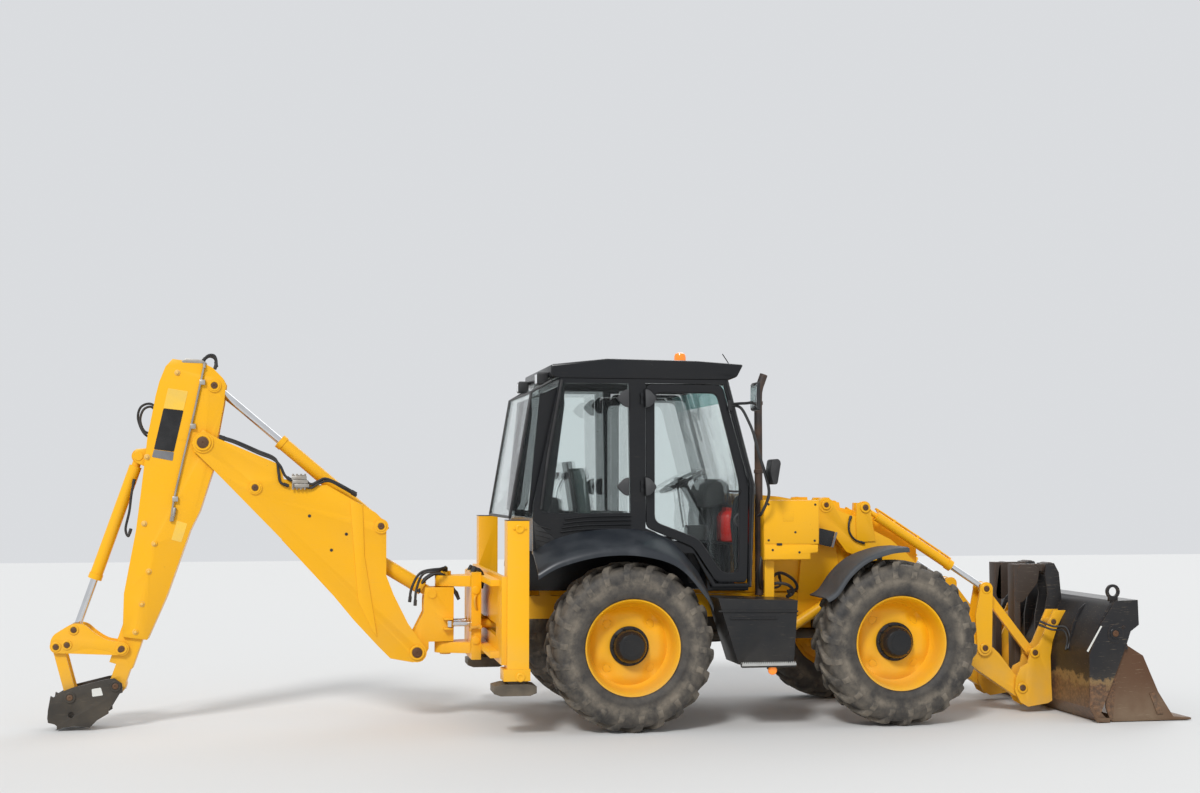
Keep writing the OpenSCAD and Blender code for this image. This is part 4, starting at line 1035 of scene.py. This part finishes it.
# Fixed hoses and steel lines: body, finish and radius, then each one's points, in millimetres
lines = [
    ("dipper", "rawSteel", 9,
     [(-3458, -122, 2941), (-3463, -126, 2897), (-3549, -126, 2460), (-3618, -126, 2143),
      (-3683, -126, 1827), (-3703, -124, 1660)]),
    ("dipper", "hoseRubber", 11,
     [(-3480, -93, 2955), (-3430, -94, 3010), (-3380, -94, 3010), (-3362, -94, 2955), (-3375, -94, 2900)],
     [(-3500, 93, 2955), (-3440, 94, 3015), (-3385, 94, 3000), (-3370, 94, 2930)]),
    ("dipper", "hoseRubber", 10,
     [(-3826, 50, 2580), (-3900, 60, 2620), (-3970, 50, 2590), (-3990, 40, 2500), (-3950, 40, 2390),
      (-3895, 30, 2350), (-3850, 30, 2400)],
     [(-3830, -30, 2540), (-3880, -40, 2590), (-3940, -40, 2565), (-3965, -30, 2480), (-3930, -30, 2390),
      (-3855, -30, 2370)]),
    ("inner_dipper", "hoseRubber", 10,
     [(-4000, -77, 2000), (-4020, -80, 1880), (-4035, -80, 1740), (-4062, -80, 1600), (-4040, -80, 1540),
      (-4020, -80, 1600)]),
    ("boom", "hoseRubber", 11,
     [(-3330, -135, 2338), (-3200, -142, 2296), (-3020, -146, 2214), (-2900, -150, 2166),
      (-2840, -160, 2110), (-2800, -165, 2030), (-2745, -168, 1990)],
     [(-3330, -128, 2350), (-3200, -130, 2310), (-3020, -132, 2232), (-2880, -140, 2166),
      (-2852, -165, 2050), (-2835, -170, 1975), (-2770, -168, 1945)],
     [(-2655, -168, 2000), (-2590, -166, 1960), (-2530, -162, 1985), (-2470, -150, 2005),
      (-2360, -140, 1960), (-2220, -135, 1880)],
     [(-2650, -168, 1950), (-2590, -166, 1930), (-2520, -160, 1970), (-2440, -150, 1985),
      (-2340, -130, 1935), (-2220, -120, 1865)]),
    ("kingpost", "hoseRubber", 11,
     [(-1468, -30, 1232), (-1475, -80, 1270), (-1520, -171, 1262), (-1685, -172, 1232),
      (-1762, -172, 1110), (-1780, -172, 990)],
     [(-1485, -20, 1232), (-1500, -70, 1262), (-1540, -171, 1242), (-1668, -172, 1220),
      (-1725, -172, 1090), (-1735, -172, 960)]),
    ("carriage", "hoseRubber", 14,
     [(-1192, -130, 1120), (-1180, -140, 1210), (-1210, -150, 1252), (-1250, -150, 1250),
      (-1268, -150, 1222)],
     [(-1192, -200, 1100), (-1178, -210, 1195), (-1210, -220, 1250), (-1250, -220, 1248),
      (-1268, -220, 1220)],
     [(-1192, 100, 1130), (-1180, 110, 1210), (-1212, 120, 1252), (-1250, 120, 1248), (-1268, 120, 1220)]),
    ("arms", "hoseRubber", 9,
     [(1930, -455, 1690), (1905, -470, 1620), (1912, -472, 1550), (1960, -470, 1490), (2045, -460, 1460)]),
    ("machine", "hoseRubber", 13,
     [(1130, -360, 1040), (1200, -400, 1130), (1300, -440, 1215), (1420, -440, 1160), (1460, -420, 1080),
      (1380, -400, 1052)],
     [(1100, -550, 1040), (1140, -600, 1110), (1230, -630, 1140), (1330, -620, 1120), (1380, -580, 1060),
      (1340, -530, 1020)]),
    ("machine", "hoseRubber", 10,
     [(1100, -520, 1300), (1090, -550, 1220), (1130, -580, 1140), (1220, -560, 1100), (1300, -480, 1120),
      (1310, -400, 1200)]),
    ("machine", "hoseRubber", 11,
     [(1074, -700, 1360), (1052, -720, 1260), (1058, -680, 1150), (1100, -600, 1080)]),
    ("hitch", "hoseRubber", 9,
     [(3560, -600, 790), (3660, -640, 750), (3745, -700, 745), (3765, -740, 660), (3735, -760, 570)],
     [(3560, -580, 760), (3660, -620, 720), (3730, -690, 715), (3745, -730, 650), (3720, -750, 560)])]


def makeLines():
    paths = [(*group[:3], points) for group in lines for points in group[3:]]
    for index, (body, finish, radius, points) in enumerate(paths):
        bm = bmesh.new()
        addHose(bm, [[v / 1000 for v in point] for point in points], radius / 1000)
        piece("line%02d" % index, bm, finish, body)


makeLines()
print("hoses done")


def addSweep(bm, path, profile, side, upright):
    # A closed profile of (y, offset) carried along a path in the side plane
    path = smoothLine([(x, 0, z) for x, z in path], 7)
    rings = []
    for i, spot in enumerate(path):
        along = (path[min(i + 1, len(path) - 1)] - path[max(i - 1, 0)]).normalized()
        normal = Vector((0, 0, 1)) if upright else Vector((-along.z, 0, along.x))
        rings.append([bm.verts.new(spot + normal * lift + Vector((0, side * y, 0))) for y, lift in profile])
    joinRings(bm, rings)


# Moulded fenders over the rear wheels and mudguards that turn with the front ones
fenderPlan = {
    "rear": outline("rear", [(-762, 1424), (-580, 1522), (-256, 1599), (72, 1597), (361, 1505),
                             (568, 1281), (640, 1159)]),
    "rearProfile": [(0.8, 0.0), (0.88, -0.034), (0.98, -0.08), (1.06, -0.119), (1.105, -0.146),
                    (1.124, -0.168), (1.13, -0.19), (1.13, -0.208), (1.12, -0.208), (1.114, -0.186),
                    (1.09, -0.16), (0.98, -0.1), (0.8, -0.018)],
    "front": outline("front", [(-644, 1046), (-567, 1096), (-461, 1238), (-309, 1360), (-103, 1432),
                               (60, 1449)]),
    "frontProfile": [(0.662, 0.0), (0.7, 0.001), (0.9, 0.002), (1.08, 0.0), (1.108, -0.006),
                     (1.119, -0.018), (1.12, -0.04), (1.112, -0.04), (1.108, -0.022), (1.08, -0.012),
                     (0.662, -0.012)],
    "stays": [((2.09, 2.13), 0.64, 0.665, (0.811, 1.432)), ((2.09, 2.18), 0.64, 0.74, (0.811, 0.835))]}


def makeFender(side, word):
    bm = bmesh.new()
    addSweep(bm, fenderPlan["rear"], fenderPlan["rearProfile"], side, True)
    stands = ("fenders",) if side > 0 else ()
    piece("fender_" + word, bm, "fenderPlastic", angle=50, stands=stands)


def makeGuard(side, word):
    wheel = "f" + word[0]
    bm = bmesh.new()
    addSweep(bm, fenderPlan["front"], fenderPlan["frontProfile"], side, False)
    for x, y0, y1, z in fenderPlan["stays"]:
        addBlock(bm, x, (side * y0, side * y1), z)
    piece("guard_" + wheel, bm, "guardPlastic", "steer_" + wheel, 0.002, angle=50,
          stands=("mudguard_" + wheel,))


mirrored(makeFender)
mirrored(makeGuard)
print("fenders done")

# The hoe's bent lever plates over the plain bars, the boom's welded rib and its hose block
leverShape = [(-4.633, 0.676), (-4.611, 0.754), (-4.511, 0.818), (-4.444, 0.85), (-4.36, 0.838),
              (-4.3, 0.78), (-4.2, 0.712), (-4.062, 0.694), (-4.034, 0.64), (-4.06, 0.59), (-4.11, 0.59),
              (-4.188, 0.626), (-4.319, 0.65), (-4.435, 0.631), (-4.507, 0.606), (-4.58, 0.616)]
hoePins = [(-4.447, 0.796), (-4.581, 0.663), (-4.497, 0.677), (-4.083, 0.633)]
boomRib = [(-2.273, 1.836), (-2.168, 1.79), (-2.15, 1.37), (-2.04, 0.705), (-2.085, 0.76), (-2.2, 1.0)]
boomBolts = [(-3.073, 1.94), (-2.6, 1.7), (-2.3, 1.55), (-2.42, 1.42)]
dipperBolts = [(-3.914, 1.642), (-3.832, 1.48), (-3.873, 1.256), (-3.923, 0.996), (-3.97, 0.773),
               (-3.671, 2.867), (-3.9, 2.18)]
cupProfile = [(0, 0.04), (0.006, 0.04), (0.009, 0.036), (0.009, 0.026), (0.004, 0.025), (0.004, 0)]
shaftProfile = [(0.003, 0.022), (0.012, 0.022), (0.014, 0.019), (0.014, 0)]
rivetProfile = [(0, 0.013), (0.003, 0.013), (0.004, 0.009), (0.004, 0)]
padProfile = [(-0.004, 0.024), (0.003, 0.024), (0.006, 0.02), (0.006, 0)]


def makeHoeDetails():
    levers, ends, ribs, bolts, pads = (bmesh.new() for k in range(5))
    for side in (1, -1):
        out = (0, side, 0)
        addPrism(levers, roundedLoop(leverShape, 0.05), side * 0.0905, side * 0.1145)
        for x, z in hoePins:
            addLathe(levers, cupProfile, (x, side * 0.114, z), out, 24)
            addLathe(ends, shaftProfile, (x, side * 0.114, z), out, 20)
        addPrism(ribs, boomRib, side * 0.149, side * 0.158)
        for x, z in boomBolts:
            addLathe(bolts, rivetProfile, (x, side * 0.15, z), out, 12)
        for x, z in dipperBolts:
            addLathe(pads, padProfile, (x, side * 0.11, z), out, 20)
            addBolt(pads, (x, side * 0.115, z), out, 0.013, 0.016)
    piece("leverPlates", levers, "yellowPaint", "coupler_lever", 0.003)
    piece("leverPins", ends, "wornSteel", "coupler_lever")
    piece("boomRibs", ribs, "yellowPaint", "boom", 0.004)
    piece("boomBolts", bolts, "trimPlastic", "boom")
    piece("padBolts", pads, "palePaint", "dipper", 0.001)


def makeHoeFittings():
    block = bmesh.new()
    for k in range(3):
        z = 2.012 - 0.032 * k
        addBlock(block, (-2.748 + 0.012 * k, -2.625 + 0.01 * k), (-0.192, -0.152), (z - 0.014, z + 0.014))
    for k in range(4):
        x = -2.735 + 0.032 * k
        addShaft(block, (x, -0.175, 1.915), (x, -0.175, 2.045), 0.009, 10)
    addBlock(block, (-2.745, -2.63), (-0.156, -0.149), (1.925, 2.035))
    piece("hoseBlock", block, "rawSteel", "boom", 0.002)
    cover = bmesh.new()
    addPrism(cover, [(-3.64, 2.962), (-3.6, 2.985), (-3.48, 2.975), (-3.44, 2.952), (-3.445, 2.945),
                     (-3.63, 2.95)], -0.112, 0.03)
    piece("dipperCap", cover, "rawSteel", "dipper", 0.002)
    clamp = bmesh.new()
    for x, z in [(-3.672, 1.84), (-3.54, 2.43), (-3.47, 2.79)]:
        addBlock(clamp, (x - 0.022, x + 0.022), (-0.14, -0.109), (z - 0.02, z + 0.02))
    addLathe(clamp, [(0, 0.016), (0.07, 0.016), (0.072, 0.012), (0.11, 0.012)],
             (-3.675, -0.128, 1.77), (-0.15, 0, -1), 16)
    piece("pipeClamps", clamp, "rawSteel", "dipper", 0.001)


makeHoeDetails()
makeHoeFittings()


# Carriage and kingpost: clamp posts, lock lever and hoses
def makeCarriageDetails():
    bm = bmesh.new()
    for side in (1, -1):
        addBlock(bm, (-1.281, -1.212), (side * 0.235, side * 0.298), (0.64, 1.19))
        for z in (0.7, 1.12):
            addBolt(bm, (-1.212, side * 0.267, z), (1, 0, 0), 0.012, 0.006)
        for z in (0.68, 1.09):
            addLathe(bm, [(-0.002, 0.034), (0.01, 0.034), (0.012, 0.029), (0.012, 0)],
                     (-1.244, side * 0.3, z), (0, side, 0), 24)
    piece("clampPosts", bm, "yellowPaint", "carriage", 0.004)
    bm = bmesh.new()
    addTube(bm, [(-1.215, -0.322, 0.79), (-1.25, -0.328, 0.786), (-1.285, -0.328, 0.78),
                 (-1.292, -0.328, 0.755)],
            0.013, 10, 5)
    addShaft(bm, (-1.215, -0.296, 0.79), (-1.215, -0.336, 0.79), 0.02, 14)
    addTube(bm, [(-1.235, -0.297, 0.93), (-1.25, -0.318, 0.96), (-1.255, -0.318, 1.02),
                 (-1.24, -0.297, 1.05)],
            0.011, 10, 5)
    piece("lockLever", bm, "lockYellow", "carriage")
    bm = bmesh.new()
    for k in range(5):
        y = -0.085 + 0.04 * k
        addTube(bm, [(-1.365, y, 1.0 + 0.01 * k), (-1.42, y, 1.1), (-1.48, y * 0.6, 1.19),
                     (-1.56, y * 0.5, 1.215), (-1.66, y * 0.5, 1.15), (-1.7, y * 0.6, 1.06)],
                0.014, 10, 6)
    piece("hoseBunch", bm, "hoseRubber", "kingpost")


makeCarriageDetails()
print("hoe details done")

# Black sheet over part of the rear side panes: a painted dark reflection for the glass seen at a slant
paneDarkReflection = [(-0.58, 2.775), (-0.737, 2.7), (-0.777, 2.69), (-0.87, 1.74), (-0.815, 1.7), (-0.727, 1.7),
              (-0.68, 1.795), (-0.575, 2.6)]

# Steps: aluminium treads with teeth, shelf lips and side lamps. The box panels beside the
# hood are given by outline and corner radius, and share one back and one outer face.
stepPlan = {
    "x": (0.786, 1.228), "outer": 1.152, "teeth": 28,
    "toothRows": [(1.145, 1.152, 0.552), (1.104, 1.11, 0.548)],
    "lips": [[(0.604, 0.958), (1.262, 0.95), (1.262, 0.936), (0.606, 0.944)],
             [(0.7, 0.9), (1.09, 0.898), (1.086, 0.884), (0.702, 0.886)]],
    "panels": [([(1.082, 1.824), (1.542, 1.822), (1.536, 1.47), (1.082, 1.472)], 0.012),
               ([(1.08, 1.464), (1.535, 1.462), (1.532, 1.4), (1.466, 1.394), (1.464, 1.344),
                 (1.08, 1.344)], 0.01)],
    "panelDepth": (0.779, 0.7835), "coverFace": 0.785,
    "cover": [(1.235, 1.74), (1.325, 1.739), (1.325, 1.655), (1.235, 1.656)],
    "coverBack": {1: 0.779, -1: 0.7835},  # let into the panel on the left, laid on it on the right
    "screws": [(1.112, 1.795), (1.512, 1.792), (1.34, 1.565), (1.505, 1.495), (1.146, 1.42), (1.374, 1.4),
               (1.112, 1.5)]}


def makeStep(side, word):
    plan = stepPlan
    x0, x1 = plan["x"]
    border, tread, lips, base, lamp, panels, screws = (bmesh.new() for k in range(7))
    # Painted dark reflection: a black sheet laid on the rear side pane
    addPrism(border, paneDarkReflection, side * 0.712, side * 0.7205)
    piece("paneDarkReflection_" + word, border, "cabPaint")
    addBlock(tread, (x0 - 0.002, x1 + 0.002), (side * 1.096, side * plan["outer"]), (0.519, 0.537))
    pitch = (x1 - x0) / plan["teeth"]
    for k in range(plan["teeth"]):
        x = x0 + pitch * (k + 0.5)
        for y0, y1, top in plan["toothRows"]:
            tooth = [(x - pitch * 0.42, 0.537), (x, top), (x + pitch * 0.42, 0.537)]
            addPrism(tread, tooth, side * y0, side * y1)
    piece("stepTread_" + word, tread, "stepAluminium")
    for shape in plan["lips"]:
        addPrism(lips, shape, side * 1.1, side * 1.112)
    piece("shelfLip_" + word, lips, "blackPaint", "machine", 0.003)
    addBlock(base, (1.006, 1.086), (side * 1.075, side * 1.102), (0.486, 0.53))
    piece("markerBase_" + word, base, "trimPlastic", "machine", 0.003)
    addLathe(lamp, [(0, 0.036), (0.014, 0.036), (0.024, 0.028), (0.028, 0)],
             (1.046, side * 1.098, 0.478), (0, side, 0), 28)
    piece("markerLamp_" + word, lamp, "amberLens")
    back, face = plan["panelDepth"]
    for shape, radius in plan["panels"]:
        addPrism(panels, roundedLoop(shape, radius, 3), side * back, side * face)
    addPrism(panels, roundedLoop(plan["cover"], 0.006, 3),
             side * plan["coverBack"][side], side * plan["coverFace"])
    piece("boxPanels_" + word, panels, "yellowPaint", "machine", 0.0015)
    for x, z in plan["screws"]:
        addBolt(screws, (x, side * face, z), (0, side, 0), 0.008, 0.005)
    addBlock(screws, (1.18, 1.225), (side * 0.783, side * 0.789), (1.458, 1.476))
    piece("boxScrews_" + word, screws, "trimPlastic", "machine", 0.001)


mirrored(makeStep)
print("steps and boxes done")

# Bucket: the jaw's cheek behind the side plate, wear strip, reflector, pin guard and ribs
jawCheek = outline("front", [(1812, 700), (1774, 640), (1742, 300), (1738, 120), (1772, 24), (1796, 8),
                             (1806, 80), (1852, 560)])
sideStrip = outline("front", [(1580, 128), (1640, 10), (1757, 2), (1757, 40), (1652, 44), (1604, 140)])
reflector = [(3.829, 0.795), (3.841, 0.79), (3.716, 0.582), (3.702, 0.59)]
pinGuard = [(3.905, 0.79), (3.965, 0.815), (4.025, 0.775), (4.03, 0.69), (3.975, 0.64), (3.905, 0.665),
            (3.885, 0.725)]
wedge = outline("front", [(2122, 232), (2187, 61), (2242, 60), (2170, 237)])
bladeShape = outline("front", [(2336, 35), (2496, 23.5), (2496, 7.5), (2330, 7.5)])
ribShape = outline("front", [(1705, 800), (1765, 950), (1700, 900), (1640, 760), (1602, 590), (1626, 590)])


def makeBucketDetails():
    cheeks, strips, white, guards, edge, ribs = (bmesh.new() for k in range(6))
    for side in (1, -1):
        addPrism(cheeks, jawCheek, side * 1.1262, side * 1.1458)
        addPrism(cheeks, wedge, side * 1.1458, side * 1.157)
        addPrism(strips, sideStrip, side * 1.169, side * 1.178)
        addPrism(white, reflector, side * 1.1695, side * 1.1715)
        addPrism(guards, roundedLoop(pinGuard, 0.03, 3), side * 1.169, side * 1.1745)
        for x, z in [(4.03, 0.78), (4.052, 0.61)]:
            addBolt(guards, (x, side * 1.17, z), (0, side, 0), 0.012, 0.008)
    piece("jawCheeks", cheeks, "bucketSteel", "jaw", 0.003)
    piece("wearStrips", strips, "wornSteel", "hitch", 0.002)
    piece("reflectors", white, "palePlate", "hitch")
    piece("pinGuards", guards, "bucketBlack", "hitch", 0.002)
    addPrism(edge, bladeShape, -1.124, 1.124)
    for k in range(8):
        addLathe(edge, [(-0.004, 0.022), (0.002, 0.022), (0.004, 0.015), (0.004, 0)],
                 (4.555, -0.98 + 0.28 * k, 0.028), (0.07, 0, 1), 14)
    piece("cuttingEdge", edge, "bucketSteel", "jaw", 0.002)
    for y in (-0.75, -0.25, 0.25, 0.75):
        addPrism(ribs, ribShape, y - 0.008, y + 0.008)
    piece("bucketRibs", ribs, "bucketBlack", "hitch", 0.002)


makeBucketDetails()

# Plates of the fork holders, and rigid pipes clamped along the tilt rams, whose points are
# (distance along the ram, height over it)
forkCheek = [(3.519, 1.232), (3.56, 1.262), (3.64, 1.262), (3.72, 1.222), (3.7, 1.1), (3.56, 0.93),
             (3.5, 0.93), (3.484, 0.98)]
ramStart = Vector((2.054, 0, 1.762))
ramAlong, ramUp = Vector((0.8395, 0, -0.5436)), Vector((0.5436, 0, 0.8395))
pipeLine = [(0.13, 0.036), (0.13, 0.05), (0.16, 0.057), (0.84, 0.057), (0.88, 0.05), (0.89, 0.036)]


def besideRam(along, up, y):
    return ramStart + ramAlong * along + ramUp * up + Vector((0, y, 0))


def makeLoaderDetails():
    forks, pipes = bmesh.new(), bmesh.new()
    for side in (1, -1):
        for y in (0.135, 0.258):
            addPrism(forks, roundedLoop(forkCheek, 0.03, 3), side * y, side * (y + 0.01))
        for y in (0.388, 0.41):
            addTube(pipes, [besideRam(along, up, side * y) for along, up in pipeLine], 0.007, 8, 4)
        for along in (0.3, 0.55, 0.78):
            ends = [besideRam(along + d, 0.048, side * 0.399) for d in (-0.012, 0.012)]
            addShaft(pipes, *ends, 0.022, 12)
    piece("forkCheeks", forks, "forkSteel", "forks", 0.003)
    piece("tiltPipes", pipes, "yellowPaint", "tilt_barrel")


makeLoaderDetails()
print("loader details done")

# Floor, world and lamps
studioPlan = {"half": 30.0, "floor": (0.7, 0.7, 0.69, 1), "world": (0.95, 0.97, 1.0, 1), "strength": 0.74,
              "keySun": ((50, 0, -28), 1.8, 12), "fillSun": ((60, 0, 150), 0.5, 40)}


def makeFloor(plan):
    bm = bmesh.new()
    half = plan["half"]
    bm.faces.new([bm.verts.new((x * half, y * half, 0)) for x, y in ((-1, -1), (1, -1), (1, 1), (-1, 1))])
    floor = meshObject("studioFloor", bm)
    floor.data.materials.append(newMaterial("studioFloor", Base_Color=plan["floor"], Roughness=0.9)[0])


def makeWorld(plan):
    world = bpy.data.worlds.new("studioWorld")
    bpy.context.scene.world = world
    world.use_nodes = True
    feed(world.node_tree.nodes["Background"].inputs, Color=plan["world"], Strength=plan["strength"])


def makeSun(name, turn, strength, size):
    data = bpy.data.lights.new(name, "SUN")
    data.energy = strength
    data.angle = math.radians(size)
    lamp = bpy.data.objects.new(name, data)
    lamp.rotation_euler = [math.radians(v) for v in turn]
    bpy.context.scene.collection.objects.link(lamp)


makeFloor(studioPlan)
makeWorld(studioPlan)
for name in ("keySun", "fillSun"):
    makeSun(name, *studioPlan[name])
bpy.context.scene.view_settings.view_transform = "Standard"
print("studio ready")
